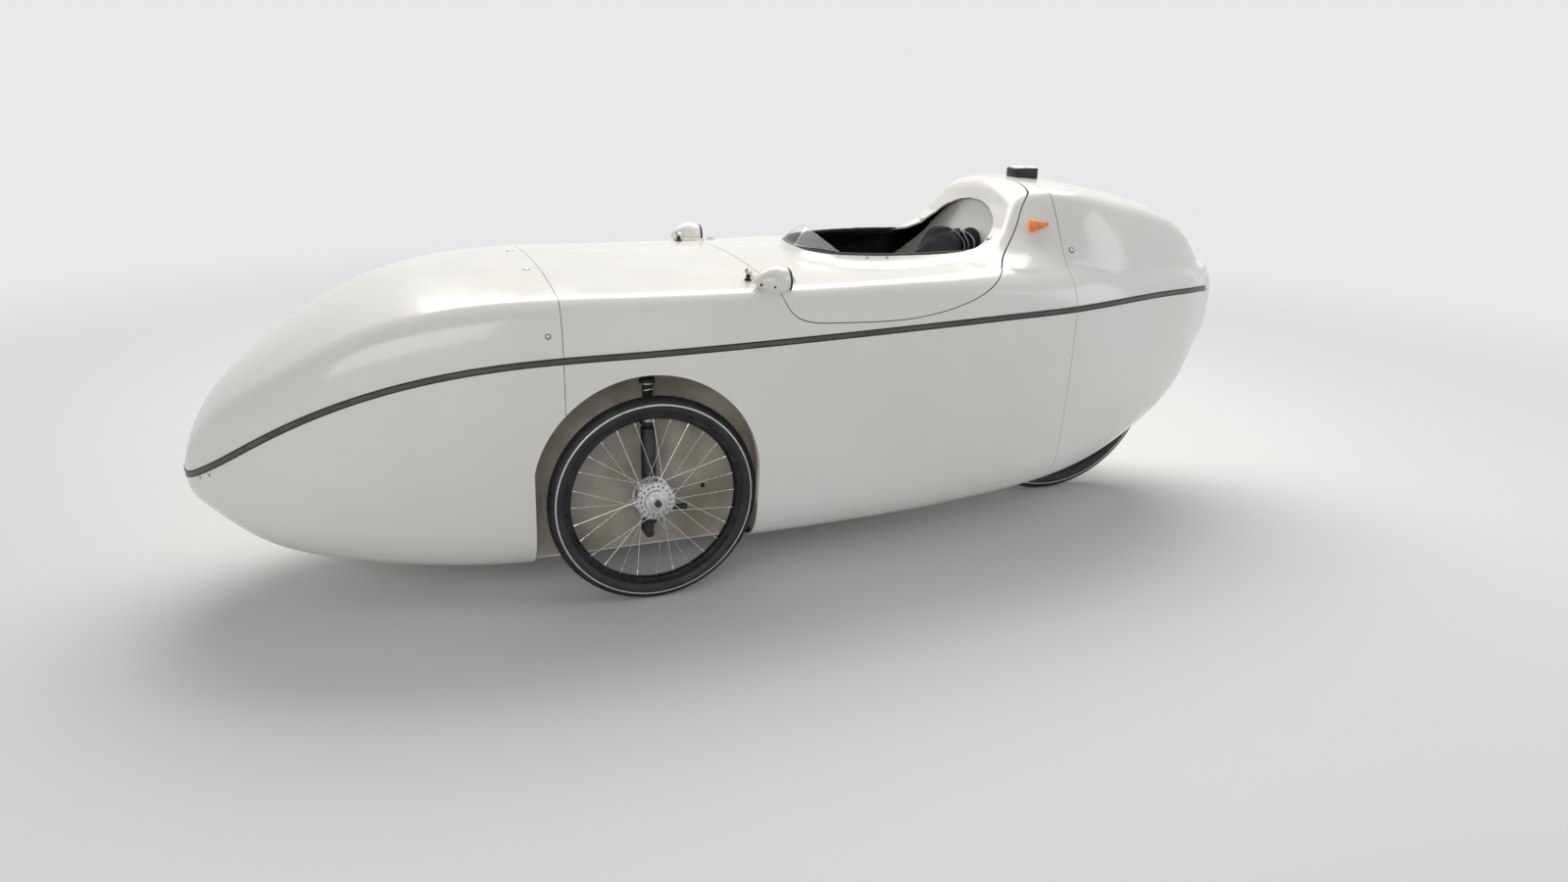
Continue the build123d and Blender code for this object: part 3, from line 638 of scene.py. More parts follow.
# %% Rubber, plastics and metals
tyre_rubber, _ = finish("tyre_rubber", (0.016, 0.016, 0.018), 0.62)
vary_colour(tyre_rubber, (0.011, 0.011, 0.013), (0.03, 0.029, 0.028), 14.0, 0.4, 0.75)
relief(tyre_rubber, object_noise(tyre_rubber.node_tree, 900.0), 0.00006, 0.7)

reflective, _ = finish("reflective_tape", (0.60, 0.61, 0.60), 0.32, Metallic=0.35)
vary_colour(reflective, (0.52, 0.53, 0.52), (0.68, 0.69, 0.68), 160.0)

anodised, _ = finish("black_anodised", (0.022, 0.022, 0.024), 0.34, Metallic=0.7)
vary_colour(anodised, (0.016, 0.016, 0.018), (0.035, 0.035, 0.037), 40.0)
vary_gloss(anodised, 0.28, 0.42, 60.0)

alloy, _ = finish("polished_alloy", (0.66, 0.66, 0.65), 0.28, Metallic=1.0)
vary_colour(alloy, (0.58, 0.58, 0.57), (0.74, 0.74, 0.73), 70.0)
vary_gloss(alloy, 0.2, 0.38, 120.0)
relief(alloy, object_noise(alloy.node_tree, 700.0, 2.0), 0.00002)

stainless, _ = finish("stainless_wire", (0.62, 0.63, 0.64), 0.24, Metallic=1.0)
vary_gloss(stainless, 0.18, 0.34, 200.0)
vary_colour(stainless, (0.55, 0.56, 0.57), (0.7, 0.7, 0.71), 200.0)

coated_steel, _ = finish("coated_steel", (0.03, 0.03, 0.032), 0.42, Metallic=0.3)
vary_colour(coated_steel, (0.022, 0.022, 0.024), (0.05, 0.048, 0.046), 25.0)
relief(coated_steel, object_noise(coated_steel.node_tree, 500.0), 0.00004)

black_plastic, _ = finish("black_plastic", (0.012, 0.012, 0.014), 0.42, Specular_IOR_Level=0.3)
vary_colour(black_plastic, (0.014, 0.014, 0.016), (0.03, 0.03, 0.032), 20.0)
relief(black_plastic, object_noise(black_plastic.node_tree, 1200.0, 2.0), 0.00003)

edge_rubber, _ = finish("edge_rubber", (0.013, 0.013, 0.015), 0.5, Specular_IOR_Level=0.3)
vary_colour(edge_rubber, (0.015, 0.015, 0.016), (0.034, 0.033, 0.032), 30.0)

strip_vinyl, _ = finish("strip_vinyl", (0.075, 0.062, 0.052), 0.42)
vary_colour(strip_vinyl, (0.06, 0.05, 0.042), (0.10, 0.085, 0.072), 12.0, stretch=(1, 1, 6))

# %% Lenses, mirror glass and clear sheet
amber_lens, _ = finish("amber_lens", (0.95, 0.26, 0.02), 0.16, Transmission_Weight=0.35, IOR=1.49,
                       Coat_Weight=0.5, Emission_Color=(0.9, 0.2, 0.01, 1), Emission_Strength=0.12)
vary_colour(amber_lens, (0.86, 0.19, 0.012), (1.0, 0.36, 0.05), 90.0)
red_lens, _ = finish("red_lens", (0.55, 0.01, 0.01), 0.14, Transmission_Weight=0.3, IOR=1.49, Coat_Weight=0.5)
vary_colour(red_lens, (0.42, 0.006, 0.006), (0.65, 0.02, 0.02), 120.0)
clear_lens, _ = finish("clear_lens", (0.92, 0.93, 0.94), 0.08, Transmission_Weight=0.6, IOR=1.49,
                       Coat_Weight=0.4)
vary_colour(clear_lens, (0.86, 0.88, 0.9), (0.96, 0.97, 0.98), 80.0)
clear_sheet, _ = finish("clear_sheet", (0.93, 0.96, 0.98), 0.03, Transmission_Weight=0.97, IOR=1.2)
vary_gloss(clear_sheet, 0.01, 0.07, 12.0)
# Whitish rim of the clear sheet: frosted cut acrylic, brightened further as a painted highlight.
cut_edge, _ = finish("cut_edge", (0.72, 0.75, 0.76), 0.45)
vary_colour(cut_edge, (0.6, 0.63, 0.64), (0.82, 0.84, 0.85), 60.0)
mirror_glass, _ = finish("mirror_glass", (0.82, 0.84, 0.85), 0.03, Metallic=1.0)
vary_gloss(mirror_glass, 0.015, 0.07, 30.0)

# %% Well laminate: white gelcoat painted beige and darker, as painted shade inside the wheel wells
well_painted_shade, _ = finish("dusty_gelcoat", (0.47, 0.42, 0.345), 0.5)
vary_colour(well_painted_shade, (0.36, 0.31, 0.245), (0.55, 0.505, 0.43), 11.0)
vary_gloss(well_painted_shade, 0.42, 0.66, 20.0)
relief(well_painted_shade, object_noise(well_painted_shade.node_tree, 160.0), 0.0002, 0.5)

# %% [markdown]
# ## The strip over the seam
#
# The two halves of the shell meet in a line that runs from the tail, round the nose and back. A flat
# strip covers it: dark raised edges and a brown-grey middle. It is swept here as a cross-section along
# the seam, standing square to the skin at every step.

# %% Seam strip
STRIP_PROFILE = [  # up the side, out from the skin, whether the face after it is dark
    (-.0075, -.0040, 1), (-.0075, .0008, 1), (-.0068, .0014, 1), (-.0050, .0014, 1), (-.0045, .0010, 0),
    (.0045, .0010, 1), (.0050, .0014, 1), (.0068, .0014, 1), (.0075, .0008, 1), (.0075, -.0040, 1),
]


def seam_path():
    """Points along the seam from the left tail round the nose to the right tail."""
    tip = NOSE_TIP - .0022 * (1 - np.cos(np.linspace(0, math.pi / 2, 10))) * 10
    xs = np.concatenate([np.arange(-1.290, NOSE_TIP - .03, .012), tip[::-1]])
    left = [Vector((x, hull_width(x), hull_seam(x))) for x in xs]
    return left + [Vector((p.x, -p.y, p.z)) for p in left[-2::-1]]


def sweep(name, path, profile, materials, marks=None, up=Vector((0, 0, 1))):
    """A profile of (up, out) pairs swept along a path, closed at both ends."""
    bm = bmesh.new()
    rings = []
    for i, point in enumerate(path):
        along = (path[min(i + 1, len(path) - 1)] - path[max(i - 1, 0)]).normalized()
        out = -along.cross(up).normalized()
        high = along.cross(out).normalized()
        high = high if high.dot(up) > 0 else -high
        rings.append([bm.verts.new(point + high * u + out * n) for u, n in profile])
    size = len(profile)
    for near, far in zip(rings, rings[1:]):
        for k in range(size):
            face = bm.faces.new((near[k], near[(k + 1) % size], far[(k + 1) % size], far[k]))
            face.material_index = marks[k] if marks else 0
    bm.faces.new(rings[0][::-1])
    bm.faces.new(rings[-1])
    return solid_object(name, bm, *materials)


strip = sweep("seam_cover", seam_path(), [(u, n) for u, n, _ in STRIP_PROFILE], (strip_vinyl, edge_rubber),
              [mark for *_, mark in STRIP_PROFILE])
settle(strip, 35)
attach(strip, "shell")
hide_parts("seam_strip")

# %% [markdown]
# ## Turned parts
#
# Tyres, rims, hubs, lamps and mirror housings are all round about an axis. One function turns a profile
# of (distance from the axis, place along it) into a closed mesh with its faces outwards.

# %% Turning a profile
def turned(name, profile, centre, axis, materials, segments=64, marks=None, ring=False):
    """A solid of revolution; a ring keeps its profile closed and away from the axis."""
    along = Vector(axis).normalized()
    side = along.orthogonal().normalized()
    other = along.cross(side)
    centre = Vector(centre)
    bm = bmesh.new()
    loops = []
    for i in range(segments):
        turn = 2 * math.pi * i / segments
        out = side * math.cos(turn) + other * math.sin(turn)
        loops.append([bm.verts.new(centre + out * r + along * d) for r, d in profile])
    count = len(profile)
    for i in range(segments):
        near, far = loops[i], loops[(i + 1) % segments]
        for k in range(count if ring else count - 1):
            face = bm.faces.new((near[k], far[k], far[(k + 1) % count], near[(k + 1) % count]))
            face.material_index = marks[k] if marks else 0
    if not ring:
        bmesh.ops.remove_doubles(bm, verts=bm.verts, dist=1e-6)
        edges = [e for e in bm.edges if e.is_boundary]
        if edges:
            bmesh.ops.holes_fill(bm, edges=edges)
    return solid_object(name, bm, *materials)


def mount(thing, body, slot, *replaced, sharp=38):
    """Finish a piece: smooth, riding on its body, and standing for the nodes it hides; slot is not used."""
    settle(thing, sharp)
    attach(thing, body)
    if replaced:
        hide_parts(*replaced)
    return thing


# %% [markdown]
# ## Copies round an axle, and copies on points
#
# Spokes, tread blocks, dark discs painted as the shade of holes, and screws repeat, so two Geometry
# Nodes trees place them. One turns copies of a piece about an axle; the other stands a copy on every
# point of a mesh, facing along a stored direction. Both end in Realize Instances and Set Material, and the
# result is kept as a plain mesh.

# %% The two trees
def new_tree(name, sockets):
    """A node group with named inputs and one mesh output."""
    tree = bpy.data.node_groups.new(name, "GeometryNodeTree")
    for label, kind in sockets:
        tree.interface.new_socket(label, in_out="INPUT", socket_type=kind)
    tree.interface.new_socket("Mesh", in_out="OUTPUT", socket_type="NodeSocketGeometry")
    return tree, tree.nodes.new("NodeGroupInput"), tree.nodes.new("NodeGroupOutput")


def finish_tree(tree, inputs, output, instances):
    """Realize the instances, give them the material and send them out."""
    realize = tree.nodes.new("GeometryNodeRealizeInstances")
    paint = tree.nodes.new("GeometryNodeSetMaterial")
    tree.links.new(instances, realize.inputs["Geometry"])
    tree.links.new(realize.outputs["Geometry"], paint.inputs["Geometry"])
    tree.links.new(inputs.outputs["Material"], paint.inputs["Material"])
    tree.links.new(paint.outputs["Geometry"], output.inputs["Mesh"])


ring_tree, inputs, output = new_tree("copies_round_an_axle", [
    ("Mesh", "NodeSocketGeometry"), ("Piece", "NodeSocketObject"), ("Count", "NodeSocketInt"),
    ("Centre", "NodeSocketVector"), ("Material", "NodeSocketMaterial")])
links = ring_tree.links
line = add_node(ring_tree, "GeometryNodeMeshLine", Offset=(0, 0, 0))
links.new(inputs.outputs["Count"], line.inputs["Count"])
info = add_node(ring_tree, "GeometryNodeObjectInfo")
links.new(inputs.outputs["Piece"], info.inputs["Object"])
place_copies = add_node(ring_tree, "GeometryNodeInstanceOnPoints")
share = add_node(ring_tree, "ShaderNodeMath", operation="DIVIDE")
links.new(add_node(ring_tree, "GeometryNodeInputIndex").outputs["Index"], share.inputs[0])
links.new(inputs.outputs["Count"], share.inputs[1])
turn = add_node(ring_tree, "ShaderNodeMath", operation="MULTIPLY")
turn.inputs[1].default_value = 2 * math.pi
links.new(share.outputs[0], turn.inputs[0])
angles = add_node(ring_tree, "ShaderNodeCombineXYZ")
links.new(turn.outputs[0], angles.inputs["Y"])
links.new(line.outputs["Mesh"], place_copies.inputs["Points"])
links.new(info.outputs["Geometry"], place_copies.inputs["Instance"])
links.new(angles.outputs["Vector"], place_copies.inputs["Rotation"])
shift = add_node(ring_tree, "GeometryNodeTransform")
links.new(place_copies.outputs["Instances"], shift.inputs["Geometry"])
links.new(inputs.outputs["Centre"], shift.inputs["Translation"])
finish_tree(ring_tree, inputs, output, shift.outputs["Geometry"])

point_tree, inputs, output = new_tree("copies_on_points", [
    ("Points", "NodeSocketGeometry"), ("Piece", "NodeSocketObject"), ("Size", "NodeSocketFloat"),
    ("Material", "NodeSocketMaterial")])
links = point_tree.links
info = add_node(point_tree, "GeometryNodeObjectInfo")
links.new(inputs.outputs["Piece"], info.inputs["Object"])
facing = add_node(point_tree, "GeometryNodeInputNamedAttribute", data_type="FLOAT_VECTOR", Name="facing")
stand = add_node(point_tree, "FunctionNodeAlignRotationToVector", axis="Z")
links.new(facing.outputs["Attribute"], stand.inputs["Vector"])
place_copies = add_node(point_tree, "GeometryNodeInstanceOnPoints")
links.new(inputs.outputs["Points"], place_copies.inputs["Points"])
links.new(info.outputs["Geometry"], place_copies.inputs["Instance"])
links.new(stand.outputs["Rotation"], place_copies.inputs["Rotation"])
links.new(inputs.outputs["Size"], place_copies.inputs["Scale"])
finish_tree(point_tree, inputs, output, place_copies.outputs["Instances"])


# %% Running a tree
def run_tree(name, tree, start, **values):
    """An object whose mesh is what the tree makes of a starting mesh."""
    thing = bpy.data.objects.new(name, start)
    bpy.context.scene.collection.objects.link(thing)
    modifier = thing.modifiers.new("tree", "NODES")
    modifier.node_group = tree
    for item in tree.interface.items_tree:
        if item.in_out == "INPUT" and item.name in values:
            modifier[item.identifier] = values[item.name]
    return thing


def around(name, piece, count, centre, material):
    """Copies of a piece, modelled about the origin, round an axle along Y."""
    thing = run_tree(name, ring_tree, bpy.data.meshes.new(name), Piece=piece, Count=count, Centre=centre,
                     Material=material)
    settle(thing)
    bpy.data.objects.remove(piece)
    return thing


def on_points(name, piece, places, material, size=1.0):
    """Copies of a piece standing on (point, direction) places."""
    start = bpy.data.meshes.new(name)
    start.from_pydata([tuple(p) for p, _ in places], [], [])
    start.attributes.new("facing", "FLOAT_VECTOR", "POINT")
    start.attributes["facing"].data.foreach_set("vector", [c for _, d in places for c in d])
    thing = run_tree(name, point_tree, start, Piece=piece, Size=size, Material=material)
    settle(thing)
    bpy.data.objects.remove(piece)
    return thing


# %% [markdown]
# ## Wheels
#
# Each wheel is a tyre with a fine tread and a reflective stripe, a black box-section rim, laced steel
# spokes with alloy nipples, and a hub. The front hubs are drum brakes: a wide silver drum whose outer
# flange carries dark discs, painted shade of its spoke holes.

# %% Tyres
def tyre(name, centre, radius, bead, half, body, node):
    """A tyre with a reflective stripe on both walls."""
    tube = (radius - .0008 - bead) / 2 + .001
    middle = radius - .0008 - tube
    profile, marks = [], []
    wide = half / math.sin(math.radians(80))
    for k in range(57):
        angle = math.radians(-152 + 304 * k / 56)
        swell = 1 + .03 * math.cos(3 * angle)
        profile.append((middle + tube * math.cos(angle) * swell, wide * math.sin(angle)))
        marks.append(1 if 66 < abs(math.degrees(angle)) < 77 else 0)
    profile.append((bead - .003, half * .3))
    profile.append((bead - .003, -half * .3))
    thing = turned(name, profile, centre, (0, 1, 0), (tyre_rubber, reflective), 112, marks + [0, 0],
                   ring=True)
    return mount(thing, body, "tyre", node, sharp=50), middle, tube, wide


def tread(name, centre, middle, tube, wide, pitch_count, body):
    """Low slanted blocks across the crown of the tyre."""
    bm = bmesh.new()
    for across, shift, lean in ((-38, .3, .5), (-23, .0, .5), (-9, .5, .3), (9, .0, -.3), (23, .5, -.5),
                                (38, .8, -.5)):
        step = 2 * math.pi / pitch_count
        ring = []
        for lift in (-.0006, .0009):
            for dy, dt in ((-4.6, -.33), (4.6, -.33 + lean * .5), (4.6, .33 + lean * .5), (-4.6, .33)):
                a = math.radians(across + dy)
                swell = 1 + .03 * math.cos(3 * a)
                r = middle + (tube * swell + lift) * math.cos(a)
                turn = (dt + shift) * step
                ring.append(bm.verts.new((r * math.cos(turn), (wide + lift) * math.sin(a),
                                          r * math.sin(turn))))
        low, high = ring[:4], ring[4:]
        bm.faces.new(high)
        for k in range(4):
            bm.faces.new((low[k], low[(k + 1) % 4], high[(k + 1) % 4], high[k]))
    block = solid_object("tread_block", bm, tyre_rubber)
    thing = around(name, block, pitch_count, centre, tyre_rubber)
    return mount(thing, body, "tyre", sharp=30)


# %% Rims, spokes and nipples
def rim(name, centre, bead, depth, half, body, node):
    """Box-section rim with a hooked edge and a welded joint."""
    inner = bead - depth
    profile = [
        (bead + .0035, -half), (bead + .0035, -half + .0012), (bead + .001, -half + .0022),
        (bead - .004, -half + .003), (bead - .006, -.004), (bead - .006, .004), (bead - .004, half - .003),
        (bead + .001, half - .0022), (bead + .0035, half - .0012), (bead + .0035, half),
        (bead - .008, half - .0005), (inner + .003, half - .0035), (inner, half - .0075),
        (inner, -half + .0075), (inner + .003, -half + .0035), (bead - .008, -half + .0005),
    ]
    thing = turned(name, profile, centre, (0, 1, 0), (anodised,), 96, ring=True)
    return mount(thing, body, "black_alloy", node)


def bar(bm, start, end, radius, sides=8, taper=1.0):
    """A round bar between two points, added to a bmesh."""
    start, end = Vector(start), Vector(end)
    along = (end - start).normalized()
    side = along.orthogonal().normalized()
    other = along.cross(side)
    loops = []
    for point, size in ((start, radius), (end, radius * taper)):
        loops.append([bm.verts.new(point + (side * math.cos(t) + other * math.sin(t)) * size)
                      for t in (2 * math.pi * k / sides for k in range(sides))])
    for k in range(sides):
        bm.faces.new((loops[0][k], loops[0][(k + 1) % sides], loops[1][(k + 1) % sides], loops[1][k]))
    bm.faces.new(loops[0][::-1])
    bm.faces.new(loops[1])


def spokes(name, centre, count, flange_r, flange_y, rim_r, lean_deg, body, node):
    """Crossed spokes in groups of four, with their nipples."""
    wires, caps = bmesh.new(), bmesh.new()
    for i in range(4):
        tip = 2 * math.pi * i / count
        root = tip + math.radians(lean_deg) * (1 if i // 2 else -1)
        y = flange_y * (1 if i % 2 else -1)
        head = Vector((flange_r * math.cos(root), y, flange_r * math.sin(root)))
        end = Vector((rim_r * math.cos(tip), y * .08, rim_r * math.sin(tip)))
        along = (end - head).normalized()
        bar(wires, head + Vector((0, -.0015 if y > 0 else .0015, 0)), head, .0012, 6)
        bar(wires, head, end, .00095, 8)
        bar(wires, head + Vector((0, .0022 if y > 0 else -.0022, 0)), head, .0019, 8)
        bar(caps, end - along * .012, end, .0019, 8)
        bar(caps, end - along * .0135, end - along * .012, .0013, 8, 1.45)
    wires = around(name, mesh_object("spoke_group", wires, stainless), count // 4, centre, stainless)
    caps = around(name + "_nipples", mesh_object("nipple_group", caps, alloy), count // 4, centre, alloy)
    mount(caps, body, "aluminium")
    return mount(wires, body, "spoke_steel", node)


# %% Hubs
def drum_hub(name, centre, out, body, node):
    """Drum brake hub: a wide drum, a spoke flange at each edge with dark discs as painted shade of its holes,
    a domed end on the outside.
    """
    profile = [
        (0, .0345), (.004, .0342), (.007, .0330), (.0085, .0305), (.0085, .0285), (.0145, .0278),
        (.016, .0262), (.0165, .0225), (.0255, .0215), (.027, .0190), (.0275, .0165), (.0405, .0150),
        (.0450, .0145), (.0450, .0110), (.0400, .0102), (.0368, .0060), (.0362, -.0180), (.0400, -.0232),
        (.0450, -.0240), (.0450, -.0280), (.0405, -.0290), (.030, -.0292), (.0125, -.0292), (.0085, -.0292),
        (0, -.0292),
    ]
    thing = turned(name, [(r, d * out) for r, d in profile], centre, (0, 1, 0), (alloy,), 72)
    mount(thing, body, "aluminium", node, sharp=28)
    # The spoke holes of the flange are dark discs of painted shade, not cut.
    bm = bmesh.new()
    bar(bm, (.0424, .01510 * out, 0), (.0424, .01465 * out, 0), .0017, 10)
    bar(bm, (.0340, .01585 * out, 0), (.0340, .01535 * out, 0), .0026, 10)
    flange_hole_shade = around(name + "_drillings", mesh_object("drilling", bm, black_plastic), 18, centre, black_plastic)
    mount(flange_hole_shade, body, "black_plastic")


def cassette_hub(name, centre, body, node):
    """Rear hub with its sprockets."""
    profile = [(0, .042), (.0085, .042), (.0095, .040), (.013, .039), (.034, .0385), (.034, .035),
               (.021, .033), (.0165, .026), (.016, -.026), (.021, -.033), (.034, -.035), (.034, -.0385),
               (.013, -.039), (.0095, -.040), (.0085, -.042), (0, -.042)]
    mount(turned(name, profile, centre, (0, 1, 0), (alloy,), 48), body, "aluminium", node, sharp=28)


# %% The three wheels
FRONT_R, REAR_R, HALF_TRACK, REAR_AXLE = .243, .328, .335, FRONT_AXLE - 1.280
for side, sign in (("left", 1), ("right", -1)):
    centre, body = (FRONT_AXLE, sign * HALF_TRACK, FRONT_R), f"wheel_{side}"
    _, middle, tube, wide = tyre(f"tyre_rubber_{side}", centre, FRONT_R, .205, .019, body, f"tyre_{side}")
    tread(f"tread_{side}", centre, middle, tube, wide, 104, body)
    rim(f"rim_band_{side}", centre, .205, .0135, .0125, body, f"rim_{side}")
    spokes(f"spoke_wires_{side}", centre, 28, .0432, .0215, .194, 22, body, f"spokes_{side}")
    drum_hub(f"drum_{side}", centre, sign, body, f"hub_{side}")
centre = (REAR_AXLE, 0, REAR_R)
_, middle, tube, wide = tyre("tyre_rubber_rear", centre, REAR_R, .288, .020, "wheel_rear", "tyre_rear")
tread("tread_rear", centre, middle, tube, wide, 140, "wheel_rear")
rim("rim_band_rear", centre, .288, .0155, .0125, "wheel_rear", "rim_rear")
spokes("spoke_wires_rear", centre, 36, .0325, .037, .274, 24, "wheel_rear", "spokes_rear")
cassette_hub("rear_hub_shell", centre, "wheel_rear", "hub_rear")

# %% [markdown]
# ## The cockpit
#
# Behind the rider's head a smooth white panel closes the fairing. It follows one curve from under the top
# edge of the opening down to the floor, and it is narrower at the top, where its sides are free edges.
# The width at each height comes from a short table, and lower down from the skin itself.

# %% White panel behind the head
PANEL_LINE = [(-.6045, .850), (-.600, .805), (-.5885, .765), (-.576, .722), (-.558, .668), (-.522, .590),
              (-.457, .480), (-.396, .370), (-.352, .290), (-.331, .180), (-.322, .110)]
PANEL_WIDTH = [(.850, .130), (.818, .158), (.790, .189), (.759, .215), (.744, .223), (.725, .245),
               (.707, .269), (.693, .288), (.664, .333), (.640, .365), (.600, .400), (.050, .400)]


def flank(x, z):
    """Half width of the skin at a place and height."""
    line = upper_half(x, 160) if z > hull_seam(x) else lower_half(x, 160)[::-1]
    return float(np.interp(z, line[::-1, 1], line[::-1, 0]))


line = smooth_line(PANEL_LINE, .012)
heights, widths = zip(*PANEL_WIDTH[::-1])
bm = bmesh.new()
rows = []
for x, z in line:
    half = min(np.interp(z, heights, widths), flank(x, max(z, .085)) - .006)
    dish = .012 * np.clip((.80 - z) / .1, 0, 1)
    rows.append([bm.verts.new((x + dish * (2 * k / 36 - 1) ** 2, half * (2 * k / 36 - 1), z))
                 for k in range(37)])
stitch(bm, rows)
bmesh.ops.recalc_face_normals(bm, faces=bm.faces)
if sum(f.normal.x for f in bm.faces) < 0:
    bmesh.ops.reverse_faces(bm, faces=bm.faces)
back_panel = mesh_object("head_panel", bm, gelcoat)
thicken(back_panel, .004, -1)
soften = back_panel.modifiers.new("edge", "BEVEL")
soften.width, soften.segments, soften.limit_method, soften.angle_limit = .0015, 2, "ANGLE", math.radians(60)
mount(back_panel, "shell", "shell", "seat_back_panel")

# %% [markdown]
# ## Seat shell, cushion and belts
#
# The seat is a thin dark shell with a loose black mesh cushion, whose rounded top shows above the rim.
# The cushion is sewn from two sheets and filled, so it is made as a flat closed form along the seat's
# line and then blown up with a cloth simulation: the edge stays thin and the middle swells, as a real
# pad does. A sewn edge tape goes round it afterwards, because the simulation works on a remeshed skin.

# %% Seat line and fabric
SEAT_LINE = [(-.558, .758), (-.543, .735), (-.491, .674), (-.365, .500), (-.235, .280), (-.150, .190),
             (-.040, .160), (.090, .195)]
mesh_fabric, _ = finish("mesh_fabric", (0.007, 0.008, 0.013), 0.9, Specular_IOR_Level=0.2)
vary_colour(mesh_fabric, (0.004, 0.005, 0.010), (0.012, 0.013, 0.020), 26.0)
cells = add_node(mesh_fabric.node_tree, "ShaderNodeTexVoronoi", Scale=330.0)
mesh_fabric.node_tree.links.new(add_node(mesh_fabric.node_tree, "ShaderNodeTexCoord").outputs["Object"],
                                cells.inputs["Vector"])
relief(mesh_fabric, cells.outputs["Distance"], 0.0009, 0.8)
webbing, _ = finish("webbing", (0.10, 0.105, 0.12), 0.8, Sheen_Weight=0.2)
vary_colour(webbing, (0.075, 0.078, 0.09), (0.13, 0.135, 0.15), 60.0)
weft = add_node(webbing.node_tree, "ShaderNodeTexWave", Scale=260.0, bands_direction="DIAGONAL")
webbing.node_tree.links.new(add_node(webbing.node_tree, "ShaderNodeTexCoord").outputs["Object"],
                            weft.inputs["Vector"])
relief(webbing, weft.outputs["Fac"], 0.0005, 0.7)

seat_line = [Vector((x, 0, z)) for x, z in smooth_line(SEAT_LINE, .008)]


def seat_frame(i):
    """Point of the seat line and the direction out of the seat there."""
    along = (seat_line[min(i + 1, len(seat_line) - 1)] - seat_line[max(i - 1, 0)]).normalized()
    return seat_line[i], Vector((-along.z, 0, along.x))


def pad_half_width(i):
    """Half width of the cushion: a round top, straight sides and rounded front corners."""
    length = sum((b - a).length for a, b in zip(seat_line[:i], seat_line[1:i + 1]))
    rest = sum((b - a).length for a, b in zip(seat_line[i:], seat_line[i + 1:]))
    side = .118 + .008 * min(1, max(0, length - .118) / .2)
    if length < .118:
        side = math.sqrt(max(.118 ** 2 - (.118 - length) ** 2, 1e-6))
    if rest < .05:
        side -= .05 - math.sqrt(max(.05 ** 2 - (.05 - rest) ** 2, 0))
    return max(side, .004)


def seat_sheet(offset, half, first, last, columns, crown=0.0):
    """Rows of points at an offset from the seat line."""
    rows = []
    for i in range(first, last):
        point, out = seat_frame(i)
        wide = half(i)
        row = []
        for k in range(columns + 1):
            t = 2 * k / columns - 1
            lift = offset + crown * math.sqrt(max(1 - abs(t) ** 3, 0)) * min(1, wide / .05)
            row.append(point + out * lift + Vector((0, wide * t, 0)))
        rows.append(row)
    return rows


def closed_pad(name, back, front, material):
    """A closed form from a back and a front sheet of rows."""
    bm = bmesh.new()
    sheets = [[[bm.verts.new(p) for p in row] for row in rows] for rows in (back, front)]
    for verts in sheets:
        stitch(bm, verts)
    bmesh.ops.remove_doubles(bm, verts=bm.verts, dist=1e-6)
    rim_edges = [e for e in bm.edges if e.is_boundary]
    if rim_edges:
        bmesh.ops.bridge_loops(bm, edges=rim_edges)
    return solid_object(name, bm, material)


def plump(thing, voxel, cap, pressure=4.0):
    """Fill a closed pad: remesh, swell it with cloth pressure, and keep each point within a cap."""
    remesh = thing.modifiers.new("remesh", "REMESH")
    remesh.mode, remesh.voxel_size = "VOXEL", voxel
    settle(thing, 180)
    start = np.array([v.co for v in thing.data.vertices])
    cloth = thing.modifiers.new("fill", "CLOTH")
    cloth.settings.use_pressure = True
    cloth.settings.uniform_pressure_force = pressure
    cloth.settings.effector_weights.gravity = 0
    cloth.settings.tension_stiffness = cloth.settings.compression_stiffness = 18
    scene = bpy.context.scene
    for number in range(1, 21):
        scene.frame_set(number)
    mesh = bpy.data.meshes.new_from_object(thing.evaluated_get(bpy.context.evaluated_depsgraph_get()))
    moved = np.array([v.co for v in mesh.vertices]) - start
    bpy.data.meshes.remove(mesh)
    thing.modifiers.clear()
    scene.frame_set(1)
    size = np.linalg.norm(moved, axis=1, keepdims=True)
    moved *= np.minimum(1, cap / np.maximum(size, 1e-9))
    thing.data.vertices.foreach_set("co", (start + moved).astype(np.float32).ravel())
    smooth = thing.modifiers.new("smooth", "SMOOTH")
    smooth.factor, smooth.iterations = .5, 3
    finer = thing.modifiers.new("finer", "SUBSURF")
    finer.levels = finer.render_levels = 1
    settle(thing, 180)
    print(thing.name, "largest move", round(float(size.max()), 4))
    return thing


# %% Cushion
count = len(seat_line)
pad_back = seat_sheet(.0065, pad_half_width, 0, count, 24)
pad_front = seat_sheet(.0125, pad_half_width, 0, count, 24, crown=.014)
cushion = closed_pad("seat_pad", pad_back, pad_front, mesh_fabric)
plump(cushion, .0055, .007)
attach(cushion, "shell")
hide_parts("seat_cushion")


# %% Edge tape round the cushion, and the seat shell under it
def tube(name, path, radius, material, cyclic=False, sides=3, order="POLY"):
    """A round bar along a path, as a mesh with closed ends."""
    curve = bpy.data.curves.new(name, "CURVE")
    curve.dimensions = "3D"
    curve.bevel_depth, curve.bevel_resolution, curve.use_fill_caps = radius, sides, True
    spline = curve.splines.new(order)
    spline.points.add(len(path) - 1)
    for knot, point in zip(spline.points, path):
        knot.co = (*point, 1)
    if order == "NURBS":
        spline.order_u, spline.use_endpoint_u = 3, not cyclic
        spline.resolution_u = 8
    spline.use_cyclic_u = cyclic
    thing = bpy.data.objects.new(name, curve)
    mesh = bpy.data.meshes.new_from_object(thing)
    bpy.data.objects.remove(thing)
    bpy.data.curves.remove(curve)
    mesh.name = name
    mesh.materials.clear()
    mesh.materials.append(material)
    result = bpy.data.objects.new(name, mesh)
    bpy.context.scene.collection.objects.link(result)
    return result


